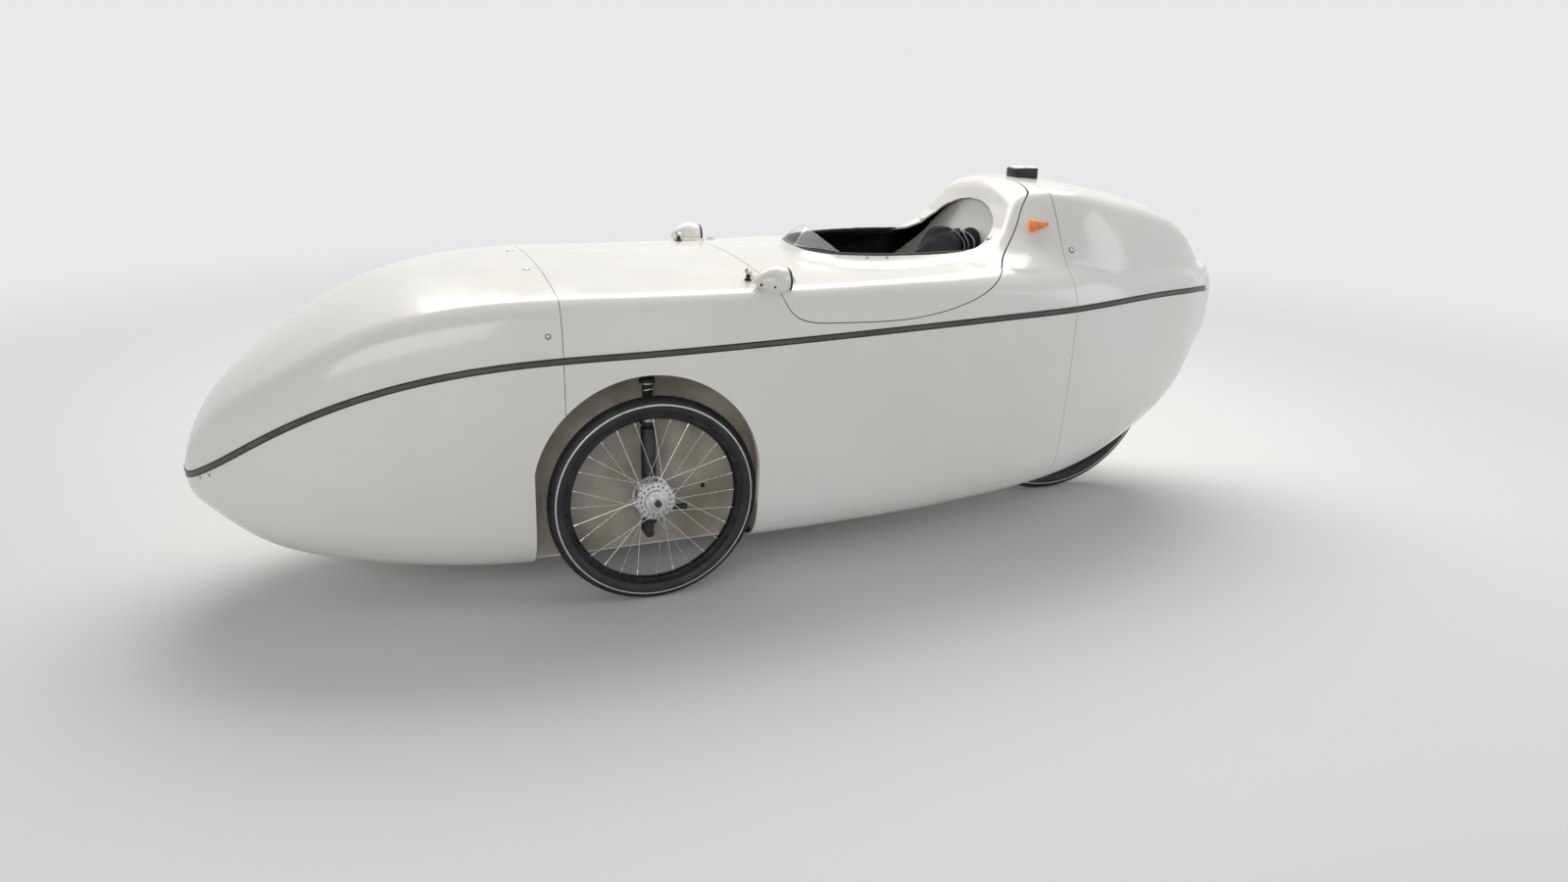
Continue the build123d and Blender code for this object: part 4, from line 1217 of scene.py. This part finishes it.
edge = []
for sign in (1, -1):
    run = [seat_frame(i)[0] + seat_frame(i)[1] * .011 + Vector((0, sign * (pad_half_width(i) + .003), 0))
           for i in range(0, count, 2)]
    edge += run if sign > 0 else run[::-1]
mount(tube("seat_pad_edge", edge, .0034, edge_rubber, cyclic=True, order="NURBS"), "shell", "black_fabric")

bm = bmesh.new()
rows = []
for i in range(14, count):
    point, out = seat_frame(i)
    rows.append([bm.verts.new(point + out * (.003 * abs(t) ** 4) + Vector((0, .142 * t, 0)))
                 for t in np.linspace(-1, 1, 25)])
stitch(bm, rows)
seat = mesh_object("seat_tub", bm, laminate)
thicken(seat, .004, 0)
mount(seat, "shell", "black_plastic", "seat_shell")


# %% Belts over the cushion
def ribbon(name, path, across, width, thick, material):
    """Flat webbing along a path, lying across a direction."""
    line = [Vector(p) for p in smooth_line(path, .006)]
    side = Vector(across).normalized()
    bm = bmesh.new()
    rings = []
    for i, point in enumerate(line):
        along = (line[min(i + 1, len(line) - 1)] - line[max(i - 1, 0)]).normalized()
        flat = (side - along * side.dot(along)).normalized()
        up = along.cross(flat)
        corners = [(-.5, -.5), (.5, -.5), (.5, .5), (-.5, .5)]
        rings.append([bm.verts.new(point + flat * width * u + up * thick * n) for u, n in corners])
    for near, far in zip(rings, rings[1:]):
        for k in range(4):
            bm.faces.new((near[k], near[(k + 1) % 4], far[(k + 1) % 4], far[k]))
    bm.faces.new(rings[0][::-1])
    bm.faces.new(rings[-1])
    return mount(solid_object(name, bm, material), "shell", "black_fabric", sharp=50)


BELTS = {
    "belt_front": [(-.566, .012, .745), (-.560, .014, .764), (-.552, .034, .768), (-.541, .070, .760),
                   (-.531, .100, .746), (-.520, .115, .720), (-.508, .122, .690)],
    "belt_rear": [(-.570, .018, .742), (-.566, .022, .762), (-.559, .048, .768), (-.549, .085, .763),
                  (-.541, .110, .754), (-.530, .128, .730), (-.516, .136, .700)],
}
for name, path in BELTS.items():
    for side, tag in ((1, "left"), (-1, "right")):
        ribbon(name + "_" + tag, [(x, side * y, z) for x, y, z in path], (.55, .8 * side, .1), .020, .0016,
               webbing)

# %% A round pad on the white panel
PAD_CENTRE, PAD_WIDE, PAD_HIGH = Vector((-.5718, .036, .7180)), .064, .066
pad_out, pad_up = Vector((.950, 0, .313)), Vector((-.313, 0, .950))
sheets = []
for lift, crown in ((.007, 0), (.015, .010)):
    rows = []
    for height in np.linspace(-1, 1, 21):
        half = math.sqrt(max(1 - height ** 2, 1e-4))
        rows.append([PAD_CENTRE + pad_up * height * PAD_HIGH + Vector((0, half * t * PAD_WIDE, 0))
                     + pad_out * (lift + crown * math.sqrt(max(1 - (half * t) ** 2 - height ** 2, 0)))
                     for t in np.linspace(-1, 1, 27)])
    sheets.append(rows)
pad = closed_pad("head_pad", *sheets, mesh_fabric)
plump(pad, .005, .004)
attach(pad, "shell")
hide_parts("head_pads")

# %% [markdown]
# ## Rim trim and windscreen
#
# A rubber profile is pushed over the cut edge of the opening as far as the fairing. In front stands a
# small screen folded from one clear sheet; its cut edges are whitish as frosted acrylic, with a painted
# highlight on top.

# %% Rim trim
TRIM_END = -.472
ring_points = []
for x, y in opening_outline:
    if x > TRIM_END:
        height = float(np.interp(abs(y), *upper_half(x, 200).T))
        ring_points.append(Vector((x, y, height)))
start = max(range(len(ring_points)), key=lambda i: (ring_points[i] - ring_points[i - 1]).length)
ring_points = ring_points[start:] + ring_points[:start]
TRIM_PROFILE = [(-.0075, -.0034), (-.0075, .0028), (-.0045, .0040), (.0002, .0044), (.0018, .0030),
                (.0024, .0002), (.0018, -.0028), (.0002, -.0042), (-.0045, -.0046)]
trim = sweep("rim_trim", ring_points, TRIM_PROFILE, (edge_rubber,))
TAPER = .06
travel = np.concatenate([[0], np.cumsum([(b - a).length for a, b in zip(ring_points, ring_points[1:])])])
for i, vert in enumerate(trim.data.vertices):
    middle = ring_points[i // len(TRIM_PROFILE)]
    to_end = min(travel[i // len(TRIM_PROFILE)], travel[-1] - travel[i // len(TRIM_PROFILE)])
    vert.co = middle + (vert.co - middle) * (.3 + .7 * min(to_end / TAPER, 1) ** .7)
mount(trim, "hatch", "rubber", "cockpit_trim", sharp=50)

# %% Lip under the joint of the hatch
LIP_WIDE, LIP_DEEP = .012, .0085
for side, tag in ((1, "left"), (-1, "right")):
    bm = bmesh.new()
    rows = []
    for before, here, after in zip(hatch_edge, hatch_edge[1:], hatch_edge[2:]):
        along = Vector((after[0] - before[0], after[1] - before[1])).normalized()
        row = []
        for share in (-1, -.5, 0, .5, 1):
            x, z = here[0] - along.y * share * LIP_WIDE, here[1] + along.x * share * LIP_WIDE
            place, out = on_skin(x, side * flank(x, z), z)
            row.append(bm.verts.new(place - out * LIP_DEEP))
        rows.append(row)
    stitch(bm, rows)
    lip = solid_object("hatch_lip_" + tag, bm, edge_rubber)
    thicken(lip, .002, 0)
    mount(lip, "shell", "rubber")

# %% Windscreen
FOOT, TOP, REAR = (-.068, .050, .757), (-.111, .016, .797), (-.140, .160, .757)
corners = [Vector(p) for p in (FOOT, TOP, REAR)]
mirrored = [Vector((p.x, -p.y, p.z)) for p in corners]
bm = bmesh.new()
left = [bm.verts.new(p) for p in corners]
right_side = [bm.verts.new(p) for p in mirrored]
bm.faces.new((left[0], left[1], right_side[1], right_side[0]))
bm.faces.new((left[0], left[2], left[1]))
bm.faces.new((right_side[0], right_side[1], right_side[2]))
bmesh.ops.recalc_face_normals(bm, faces=bm.faces)
folds = [e for e in bm.edges if not e.is_boundary]
bmesh.ops.bevel(bm, geom=folds, offset=.006, segments=3, profile=.5, affect="EDGES")
screen = mesh_object("screen_sheet", bm, clear_sheet, cut_edge)
# The rim faces of the sheet take the whitish edge finish, partly a painted highlight.
thicken(screen, .002, 0).material_offset_rim = 1
mount(screen, "hatch", "clear_screen", "windscreen", sharp=30)

# %% [markdown]
# ## Wheel arches
#
# Each arch has a flange turned inwards along its edge and a well behind it. The well is one sheet: a flat
# inner wall and a roof that follows the arch a little larger, up to the inside of the skin.

# %% Arch outline
def arch_path(grow, step_deg=4):
    """Outline of the arch in the side view, from the foot in front over the top to the foot behind."""
    (cx, cz), radius = ARCH_CENTRE, ARCH_R + grow
    x0, x1 = ARCH_SIDES[0] - grow, ARCH_SIDES[1] + grow
    start = math.degrees(math.acos((x1 - cx) / radius))
    turns = np.radians(np.arange(start, 180.01, (180 - start) / round((180 - start) / step_deg)))
    points = [(x1, z) for z in np.linspace(.05, cz + radius * math.sin(turns[0]), 10)[:-1]]
    points += [(cx + radius * math.cos(t), cz + radius * math.sin(t)) for t in turns]
    points += [(x0, z) for z in np.linspace(cz, .05, 10)[1:]]
    return points


def floor_height(x, y):
    """Height of the underside of the skin at a place."""
    line = lower_half(x, 160)
    return float(np.interp(y, line[:, 0], line[:, 1]))


def flange(name, points, side):
    """A strip turned inwards from the edge of the skin."""
    bm = bmesh.new()
    rows = []
    for x, z in points:
        outer = flank(x, z) - .0012
        rows.append([bm.verts.new((x, side * y, z)) for y in np.linspace(outer, outer - .019, 4)])
    stitch(bm, rows)
    thing = mesh_object(name, bm, gelcoat)
    middle = Vector((ARCH_CENTRE[0], 0, ARCH_CENTRE[1]))
    bm = bmesh.new()
    bm.from_mesh(thing.data)
    bmesh.ops.recalc_face_normals(bm, faces=bm.faces)
    if sum((f.calc_center_median() - middle).dot(Vector((f.normal.x, 0, f.normal.z))) for f in bm.faces) > 0:
        bmesh.ops.reverse_faces(bm, faces=bm.faces)
    bm.to_mesh(thing.data)
    bm.free()
    thicken(thing, .003, -1)
    return mount(thing, "shell", "shell", sharp=50)


edge_points = [p for p in arch_path(.0004, 2.5) if p[1] > floor_height(p[0], .36) + .004]
for side, tag in ((1, "left"), (-1, "right")):
    flange("arch_flange_nose_" + tag, [p for p in edge_points if p[0] > NOSE_SPLIT + JOINT_GAP], side)
    flange("arch_flange_centre_" + tag, [p for p in edge_points if p[0] < NOSE_SPLIT - JOINT_GAP], side)

# %% Wells
for side, tag in ((1, "left"), (-1, "right")):
    bm = bmesh.new()
    rows = []
    outline = [p for p in arch_path(.020) if p[1] > floor_height(p[0], WELL_Y) + .006]
    for x, z in outline:
        top = flank(x, z) - .0085
        rows.append([bm.verts.new((x, side * y, z)) for y in np.linspace(WELL_Y, max(top, WELL_Y + .01), 8)])
    stitch(bm, rows)
    low_edge = [bm.verts.new((x, side * WELL_Y, floor_height(x, WELL_Y) + .003))
                for x in np.linspace(outline[-1][0], outline[0][0], 14)]
    bm.faces.new([row[0] for row in rows] + low_edge)
    bmesh.ops.remove_doubles(bm, verts=bm.verts, dist=1e-6)
    bmesh.ops.recalc_face_normals(bm, faces=bm.faces)
    inner_wall = [f for f in bm.faces if abs(f.normal.y) > .9]
    if sum(f.normal.y * side for f in inner_wall) < 0:
        bmesh.ops.reverse_faces(bm, faces=bm.faces)
    # The beige of the well is painted shade on white gelcoat.
    thing = mesh_object("well_" + tag, bm, well_painted_shade)
    round_edge = thing.modifiers.new("round", "BEVEL")
    round_edge.width, round_edge.segments = .014, 3
    round_edge.limit_method, round_edge.angle_limit = "ANGLE", math.radians(60)
    thicken(thing, .003, -1)
    mount(thing, "shell", "shell", "wheel_well_" + tag)

# %% [markdown]
# ## Struts, knuckles and frame
#
# The front wheels stand on struts with a coil spring, and the knuckles turn about them. The tubes of the
# frame and the rear fork keep their plain form and get a coated finish with softened edges.

# %% Struts with springs
def coil(name, centre, low, high, radius, wire, turns, material):
    """A helical spring with flat ends."""
    path = []
    steps = int(turns * 20)
    for i in range(steps + 1):
        part = i / steps
        rise = min(max((part - 1 / turns) / (1 - 2 / turns), 0), 1)
        angle = 2 * math.pi * turns * part
        path.append((centre[0] + radius * math.cos(angle), centre[1] + radius * math.sin(angle),
                     low + wire + (high - low - 2 * wire) * rise))
    return tube(name, path, wire, material)


for side, tag in ((1, "left"), (-1, "right")):
    foot = (FRONT_AXLE, side * .288, 0)
    profile = [(0, .149), (.0098, .149), (.0098, .406), (.013, .406), (.0185, .410), (.0185, .416),
               (.0115, .418), (.0115, .506), (.0185, .508), (.0185, .514), (.013, .520), (.0098, .520),
               (.0098, .562), (.023, .566), (.024, .568), (.024, .579), (.023, .581), (0, .581)]
    strut = turned("strut_" + tag, profile, foot, (0, 0, 1), (coated_steel,), segments=40)
    mount(strut, "shell", "dark_metal", "strut_" + tag)
    mount(coil("strut_spring_" + tag, foot, .416, .508, .0160, .0024, 7, alloy), "shell", "dark_metal")


def dress(node, material, slot, width=.0012):
    """A merged copy of a CAD node, with soft edges, that stands for the node."""
    source = frame["nodes"][node]
    body = next(name for name, empty in frame["bodies"].items() if empty is source.parent)
    bm = bmesh.new()
    bm.from_mesh(source.data)
    bmesh.ops.remove_doubles(bm, verts=bm.verts, dist=2e-6)
    bmesh.ops.dissolve_limit(bm, angle_limit=math.radians(.5), verts=bm.verts, edges=bm.edges)
    thing = mesh_object(node + "_finish", bm, material)
    soft = thing.modifiers.new("edge", "BEVEL")
    soft.width, soft.segments, soft.limit_method, soft.angle_limit = width, 2, "ANGLE", math.radians(50)
    return mount(thing, body, slot, node)


for node in ("knuckle_left", "knuckle_right", "rear_fork", "front_subframe"):
    dress(node, coated_steel, "dark_metal")
dress("rear_wheel_box", laminate, "black_plastic")

# %% [markdown]
# ## Screws, mirrors and hinge

# %% Screws
bm = bmesh.new()
loops, turns = [], np.linspace(0, 2 * math.pi, 19)[:-1]
for r, d in ((.0046, 0), (.0046, .0009), (.0036, .0021), (.0024, .0024), (.0017, .0010)):
    loops.append([bm.verts.new((r * math.cos(t), r * math.sin(t), d)) for t in turns])
for near, far in zip(loops, loops[1:]):
    for k in range(18):
        bm.faces.new((near[k], near[(k + 1) % 18], far[(k + 1) % 18], far[k]))
bm.faces.new(loops[0][::-1])
bm.faces.new(loops[-1])
screw = mesh_object("screw_piece", bm, stainless)


def screws(name, places, body, size=1.0):
    """Screws standing on the skin near a few places, on both sides."""
    spots = [on_skin(x, s * y, z) for x, y, z in places for s in (1, -1)]
    copy = bpy.data.objects.new("screw_copy", screw.data.copy())
    bpy.context.scene.collection.objects.link(copy)
    thing = on_points(name, copy, [(p - n * .0004, n) for p, n in spots], stainless, size)
    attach(thing, body)
    bm = bmesh.new()
    for place, out in spots:
        bar(bm, place - out * .0006, place + out * .0005, .0062 * size, 24, .94)
    mount(solid_object(name + "_washers", bm, edge_rubber), body, "rubber")


screws("screws_nose", [(.605, .380, .647)], "shell")
screws("screws_deck", [(.605, .127, .740)], "shell", 1.3)
screws("screws_tail", [(-.7135, .293, .758)], "shell", 1.2)
screws("screws_hatch", [(-.541, .182, .777)], "hatch", 1.2)
screws("screws_rim", [(-.127, .147, .750), (-.200, .194, .745), (-.246, .208, .745)], "hatch", .6)
bpy.data.objects.remove(screw)

# %% Holes in the nose, dark discs of painted shade for the holes in the wells, and nuts inside the fairing
NOSE_HOLES, HOLE_R = [(1.3164, .113, .3236), (1.2953, .140, .3358)], .004
drill_form = bmesh.new()
for side in (1, -1):
    for x, y, z in NOSE_HOLES:
        place, out = on_skin(x, side * y, z)
        bar(drill_form, place - out * .012, place + out * .006, HOLE_R, 24)
drill = solid_object("nose_drill", drill_form)
nose = bpy.data.objects["nose_bottom"]
cut = nose.modifiers.new("holes", "BOOLEAN")
cut.object, cut.solver = drill, "EXACT"
settle(nose)
bpy.data.objects.remove(drill)
print("nose_bottom", len(nose.data.polygons), "faces with its holes")

# A black disc on each well wall is painted shade of a hole there.
hole_shade = [(0, .0004), (.0034, .0004), (.0040, .0012), (.0054, .0012), (.0060, .0004), (.0060, -.001),
        (0, -.001)]
for side, tag in ((1, "left"), (-1, "right")):
    mount(turned("well_plug_" + tag, hole_shade, (.231, side * WELL_Y, .224), (0, side, 0), (edge_rubber,),
                 segments=32), "shell", "black_plastic")
    place, out = on_skin(-.612, side * .270, .755)
    bm = bmesh.new()
    bar(bm, place - out * (LAMINATE - .0004), place - out * (LAMINATE + .0010), .0085, 28)
    bar(bm, place - out * (LAMINATE + .0008), place - out * (LAMINATE + .0058), .0062, 6)
    bar(bm, place - out * (LAMINATE + .0050), place - out * (LAMINATE + .0090), .0030, 16, .85)
    mount(solid_object("fairing_nut_" + tag, bm, stainless), "shell", "aluminium")

# %% Mirrors
X, Y, Z = .101, .341, .731
LENGTH, RADIUS = .084, .0265


def egg_radius(t):
    """Radius of the housing from its tip, t 0, to its rim, t 1; t ** 1.6 is the share of its length."""
    if t == 1:
        return RADIUS
    return RADIUS * (math.sin(math.pi * t ** 1.6 / 1.36) / math.sin(math.pi / 1.36)) ** .75


for side, tag in ((1, "left"), (-1, "right")):
    centre = (X, side * Y, Z)
    tip = LENGTH / 2
    outline = [(0, tip)]
    for t in np.linspace(0, 1, 27)[1:]:
        outline.append((egg_radius(t), tip - (LENGTH - .006) * t ** 1.6))
    outline += [(RADIUS - .003, -tip + .006), (RADIUS - .003, -tip + .012), (0, -tip + .012)]
    egg = turned("mirror_shell_" + tag, outline, centre, (1, 0, 0), (gelcoat,), segments=56)
    mount(egg, "hatch", "shell", "mirror_" + tag)
    band = [(RADIUS - .004, -tip + .009), (RADIUS - .0004, -tip + .009), (RADIUS - .0002, -tip + .001),
            (RADIUS - .0012, -tip), (RADIUS - .0030, -tip + .0002), (RADIUS - .004, -tip + .0022)]
    mount(turned("mirror_rim_" + tag, band, centre, (1, 0, 0), (edge_rubber,), segments=56, ring=True),
          "hatch", "black_plastic")
    glass = [(0, -tip + .0042), (RADIUS - .0038, -tip + .0036), (RADIUS - .0038, -tip + .0058),
             (0, -tip + .0060)]
    mount(turned("mirror_face_" + tag, glass, centre, (1, 0, 0), (mirror_glass,), segments=56), "hatch",
          "mirror", "mirror_glass_" + tag)
    base, up = on_skin(.078, side * .330, .74)
    bm = bmesh.new()
    bar(bm, base - up * .001, base + up * .006, .0125, 24, .85)
    bar(bm, base + up * .004, Vector((X - .014, side * (Y - .004), Z)), .0075, 20, .9)
    mount(solid_object("mirror_foot_" + tag, bm, gelcoat), "hatch", "shell")
    bm = bmesh.new()
    for share in (.22, .50):
        start = Vector((X + tip - LENGTH * share, side * Y, Z))
        out = Vector((.35 if share < .3 else .05, side, -.30)).normalized()
        reach = egg_radius(share ** (1 / 1.6))
        bar(bm, start + out * (reach - .004), start + out * (reach + .0008), .0034, 16, .8)
    mount(solid_object("mirror_screws_" + tag, bm, coated_steel), "hatch", "aluminium")

# %% Hinge of the hatch, and the knob behind the mirror
PIVOT_X, PIVOT_Z, PIN_ENDS, PIN_MIDDLE = .136, .744, (.274, .298), .286
ARM_PROFILE = [(-.0020, -.0014), (-.0014, -.0020), (.0014, -.0020), (.0020, -.0014), (.0020, .0014),
               (.0014, .0020), (-.0014, .0020), (-.0020, .0014)]
for side, tag in ((1, "left"), (-1, "right")):
    pivot = Vector((PIVOT_X, side * PIN_MIDDLE, PIVOT_Z))
    ground, up = on_skin(*pivot)
    bm = bmesh.new()
    bar(bm, ground - up * .002, ground + up * .003, .0090, 28, .9)
    bar(bm, ground + up * .002, pivot + up * .003, .0052, 20, .8)
    bar(bm, (PIVOT_X, side * PIN_ENDS[0], PIVOT_Z), (PIVOT_X, side * PIN_ENDS[1], PIVOT_Z), .0034, 20)
    mount(solid_object("hinge_foot_" + tag, bm, black_plastic), "shell", "dark_metal", "hinge_post_" + tag)
    dome = [(0, .0042), (.0026, .0036), (.0044, .0018), (.0048, 0), (0, 0)]
    for end in PIN_ENDS:
        out = side if end > PIN_MIDDLE else -side
        cap = turned(f"hinge_cap_{tag}_{'outer' if end > PIN_MIDDLE else 'inner'}", dome,
                     (PIVOT_X, side * end, PIVOT_Z), (0, out, 0), (alloy,), segments=28)
        mount(cap, "shell", "dark_metal")
    for y, place in ((PIN_MIDDLE + .0082, "outer"), (PIN_MIDDLE - .0082, "inner")):
        eye = Vector((PIVOT_X, side * y, PIVOT_Z))
        path = [eye]
        for x in (.126, .116, .104, .090, .076, .066):
            ground, up = on_skin(x, side * y, .742)
            path.append(ground + up * (.0022 + .003 * (x - .066) / .060))
        arm = sweep(f"hinge_arm_{tag}_{place}", path, ARM_PROFILE, (gelcoat,))
        mount(arm, "hatch", "dark_metal", *(["hinge_arm_" + tag] if place == "outer" else []))
        bm = bmesh.new()
        bar(bm, eye - Vector((0, .0021, 0)), eye + Vector((0, .0021, 0)), .0060, 24)
        mount(solid_object(f"hinge_eye_{tag}_{place}", bm, gelcoat), "hatch", "dark_metal")
    place, out = on_skin(.040, side * .305, .745)
    knob = [(0, .0135), (.0035, .0135), (.0035, .0118), (.0060, .0114), (.0090, .0090), (.0108, .0050),
            (.0112, .0008), (.0112, -.001), (0, -.001)]
    mount(turned("deck_knob_" + tag, knob, place, out, (gelcoat, stainless), segments=40,
                 marks=[1, 1, 0, 0, 0, 0, 0, 0]), "hatch", "shell")

# %% [markdown]
# ## Lamps
#
# The indicators are ribbed amber drops on the shoulders of the fairing. The brake lamp on the roof is a
# rounded black box with a bright strip along its top edge.

# %% Indicators
for side, tag in ((1, "left"), (-1, "right")):
    front, tip = Vector((-.618, side * .236, .812)), Vector((-.666, side * .249, .818))
    length = (tip - front).length
    profile = [(0, .0004)]
    for i in range(1, 33):
        t = i / 32
        body = .0172 * min(1, math.sin(min(t / .16, 1) * math.pi / 2)) * (1 - .72 * max(0, t - .16) / .84)
        rib = .0006 if i % 2 else 0
        profile.append((max(body - rib, .001), length * t))
    profile.append((0, length))
    lens = turned("indicator_lens_" + tag, profile, front, tip - front, (amber_lens,), segments=40)
    mount(lens, "shell", "amber_lens", "indicator_" + tag)
    base, out = on_skin(-.645, side * .242, .812)
    bm = bmesh.new()
    bar(bm, base - out * .002, front.lerp(tip, .45), .0068, 20, .8)
    mount(solid_object("indicator_foot_" + tag, bm, black_plastic), "shell", "black_plastic")


# %% Brake lamp on the roof
def rounded_box(name, low, high, radius, material, segments=4):
    """A box with rounded edges."""
    bm = bmesh.new()
    bmesh.ops.create_cube(bm, size=1)
    low, high = Vector(low), Vector(high)
    for vert in bm.verts:
        vert.co = Vector((a + (b - a) * (c + .5) for a, b, c in zip(low, high, vert.co)))
    bmesh.ops.bevel(bm, geom=bm.edges[:], offset=radius, segments=segments, profile=.5, affect="EDGES")
    return mesh_object(name, bm, material)


low, high = (Vector(corner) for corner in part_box("roof_lamp"))
low, high = Vector((-.772, -.024, low.z)), Vector((-.702, .024, high.z))
body = rounded_box("roof_lamp_body", low, (high.x, high.y, high.z - .0035), .004, black_plastic)
mount(body, "shell", "black_plastic", "roof_lamp")
mount(rounded_box("roof_lamp_edge", (low.x + .003, low.y + .003, high.z - .006),
                  (high.x - .003, high.y - .003, high.z), .002, alloy, 3), "shell", "black_plastic")
mount(rounded_box("roof_lamp_glass", (low.x + .0004, low.y + .006, low.z + .017),
                  (low.x + .006, high.y - .006, high.z - .008), .0015, red_lens, 3), "shell", "red_lens")

# %% Headlight in the nose tip and tail light
low, high = (Vector(corner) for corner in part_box("headlight"))
radius = (high.z - low.z) / 2
lens = [(0, .0050), (radius * .45, .0047), (radius * .75, .0038), (radius - .0030, .0018),
        (radius - .0030, 0), (0, 0)]
centre = (NOSE_TIP - .0012, 0, .312)
mount(turned("headlight_lens", lens, centre, (1, 0, 0), (clear_lens,), segments=48), "shell", "clear_lens",
      "headlight")
bezel = [(radius - .0030, -.004), (radius, -.004), (radius, .0012), (radius - .0010, .0026),
         (radius - .0024, .0026), (radius - .0030, .0016)]
mount(turned("headlight_ring", bezel, centre, (1, 0, 0), (gelcoat,), segments=48, ring=True), "shell",
      "shell")
low, high = (Vector(corner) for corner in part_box("tail_light"))
radius = (high.z - low.z) / 2
lens = [(0, .0050), (radius * .5, .0046), (radius * .8, .0034), (radius - .0022, .0014), (radius - .0022, 0),
        (0, 0)]
centre = (high.x, 0, (low.z + high.z) / 2)
mount(turned("tail_light_lens", lens, centre, (-1, 0, 0), (red_lens,), segments=48), "shell", "red_lens",
      "tail_light")
bezel = [(radius - .0022, -.010), (radius, -.010), (radius, .0010), (radius - .0008, .0022),
         (radius - .0018, .0022), (radius - .0022, .0014)]
mount(turned("tail_light_ring", bezel, centre, (-1, 0, 0), (black_plastic,), segments=48, ring=True), "shell",
      "black_plastic")


# %% [markdown]
# ## Floor, light and camera
#
# The floor is one wide flat sheet that fades into an even pale backdrop with the distance. The object is
# lit by wide soft lamps, so that the gelcoat shows long soft reflections.

# %% Floor and world
def plain_ray(tree):
    """1 for the rays that show the backdrop: straight from the camera, mirrored, or through glass."""
    path = add_node(tree, "ShaderNodeLightPath")
    total = path.outputs["Is Camera Ray"]
    for name in ("Is Glossy Ray", "Is Transmission Ray"):
        add = add_node(tree, "ShaderNodeMath", operation="MAXIMUM")
        tree.links.new(total, add.inputs[0])
        tree.links.new(path.outputs[name], add.inputs[1])
        total = add.outputs["Value"]
    return total


PALE = (0.80, 0.81, 0.82)
studio, studio_shader = finish("studio", (0.74, 0.74, 0.73), 0.9)
tree = studio.node_tree
place = add_node(tree, "ShaderNodeNewGeometry")
reach = add_node(tree, "ShaderNodeVectorMath", operation="LENGTH")
tree.links.new(place.outputs["Position"], reach.inputs[0])
far_off = add_node(tree, "ShaderNodeMapRange", interpolation_type="SMOOTHSTEP")
far_off.inputs["From Min"].default_value, far_off.inputs["From Max"].default_value = 1.6, 5.0
tree.links.new(reach.outputs["Value"], far_off.inputs["Value"])
seen = add_node(tree, "ShaderNodeMath", operation="MULTIPLY")
tree.links.new(plain_ray(tree), seen.inputs[0])
tree.links.new(far_off.outputs["Result"], seen.inputs[1])
mix = add_node(tree, "ShaderNodeMixShader")
tree.links.new(seen.outputs["Value"], mix.inputs["Fac"])
tree.links.new(studio_shader.outputs["BSDF"], mix.inputs[1])
tree.links.new(add_node(tree, "ShaderNodeEmission", Color=(*PALE, 1)).outputs["Emission"], mix.inputs[2])
tree.links.new(mix.outputs["Shader"], tree.nodes["Material Output"].inputs["Surface"])
bm = bmesh.new()
bmesh.ops.create_grid(bm, x_segments=1, y_segments=1, size=60)
floor = mesh_object("studio_floor", bm, studio)

world = bpy.data.worlds.new("studio")
bpy.context.scene.world = world
world.use_nodes = True
tree = world.node_tree
backdrop = tree.nodes["Background"]
backdrop.inputs["Color"].default_value = (0.80, 0.86, 0.96, 1)
backdrop.inputs["Strength"].default_value = 0.36
plain = add_node(tree, "ShaderNodeBackground", Color=(*PALE, 1), Strength=1.0)
mix = add_node(tree, "ShaderNodeMixShader")
tree.links.new(plain_ray(tree), mix.inputs["Fac"])
tree.links.new(backdrop.outputs["Background"], mix.inputs[1])
tree.links.new(plain.outputs["Background"], mix.inputs[2])
tree.links.new(mix.outputs["Shader"], tree.nodes["World Output"].inputs["Surface"])


# %% Lamps
def softbox(name, place, target, size, power, colour=(1, 1, 1)):
    """A rectangular area lamp aimed at a point."""
    lamp = bpy.data.lights.new(name, "AREA")
    lamp.shape, lamp.size, lamp.size_y = "RECTANGLE", size[0], size[1]
    lamp.energy, lamp.color = power, colour
    thing = bpy.data.objects.new(name, lamp)
    bpy.context.scene.collection.objects.link(thing)
    thing.location = place
    thing.rotation_euler = (Vector(target) - Vector(place)).to_track_quat("-Z", "Y").to_euler()


softbox("sky", (-0.6, -1.7, 3.4), (0, 0, 0.5), (4.6, 2.4), 158, (1, 0.96, 0.90))
softbox("window", (2.6, 3.6, 2.1), (0.2, 0, 0.45), (3.2, 1.6), 42, (1, 0.97, 0.92))
softbox("side", (-3.6, 2.2, 1.8), (-0.6, 0, 0.6), (1.6, 2.4), 22)

# %% Camera at the photograph's place
LENS = 26.55
EYE = Vector((0.9891, 2.7248, 1.2222))
LOOK = Vector((-0.3428, -0.88238, -0.32234))
UP = Vector((-0.09748, -0.30786, 0.94642))
camera_data = bpy.data.cameras.new("camera")
camera_data.lens, camera_data.sensor_width, camera_data.sensor_fit = LENS, 36, "HORIZONTAL"
camera = bpy.data.objects.new("camera", camera_data)
bpy.context.scene.collection.objects.link(camera)
back = -LOOK.normalized()
right = UP.cross(back).normalized()
camera.matrix_world = Matrix((right, back.cross(right), back)).transposed().to_4x4()
camera.matrix_world.translation = EYE
bpy.context.scene.camera = camera
bpy.context.scene.view_settings.view_transform = "Standard"
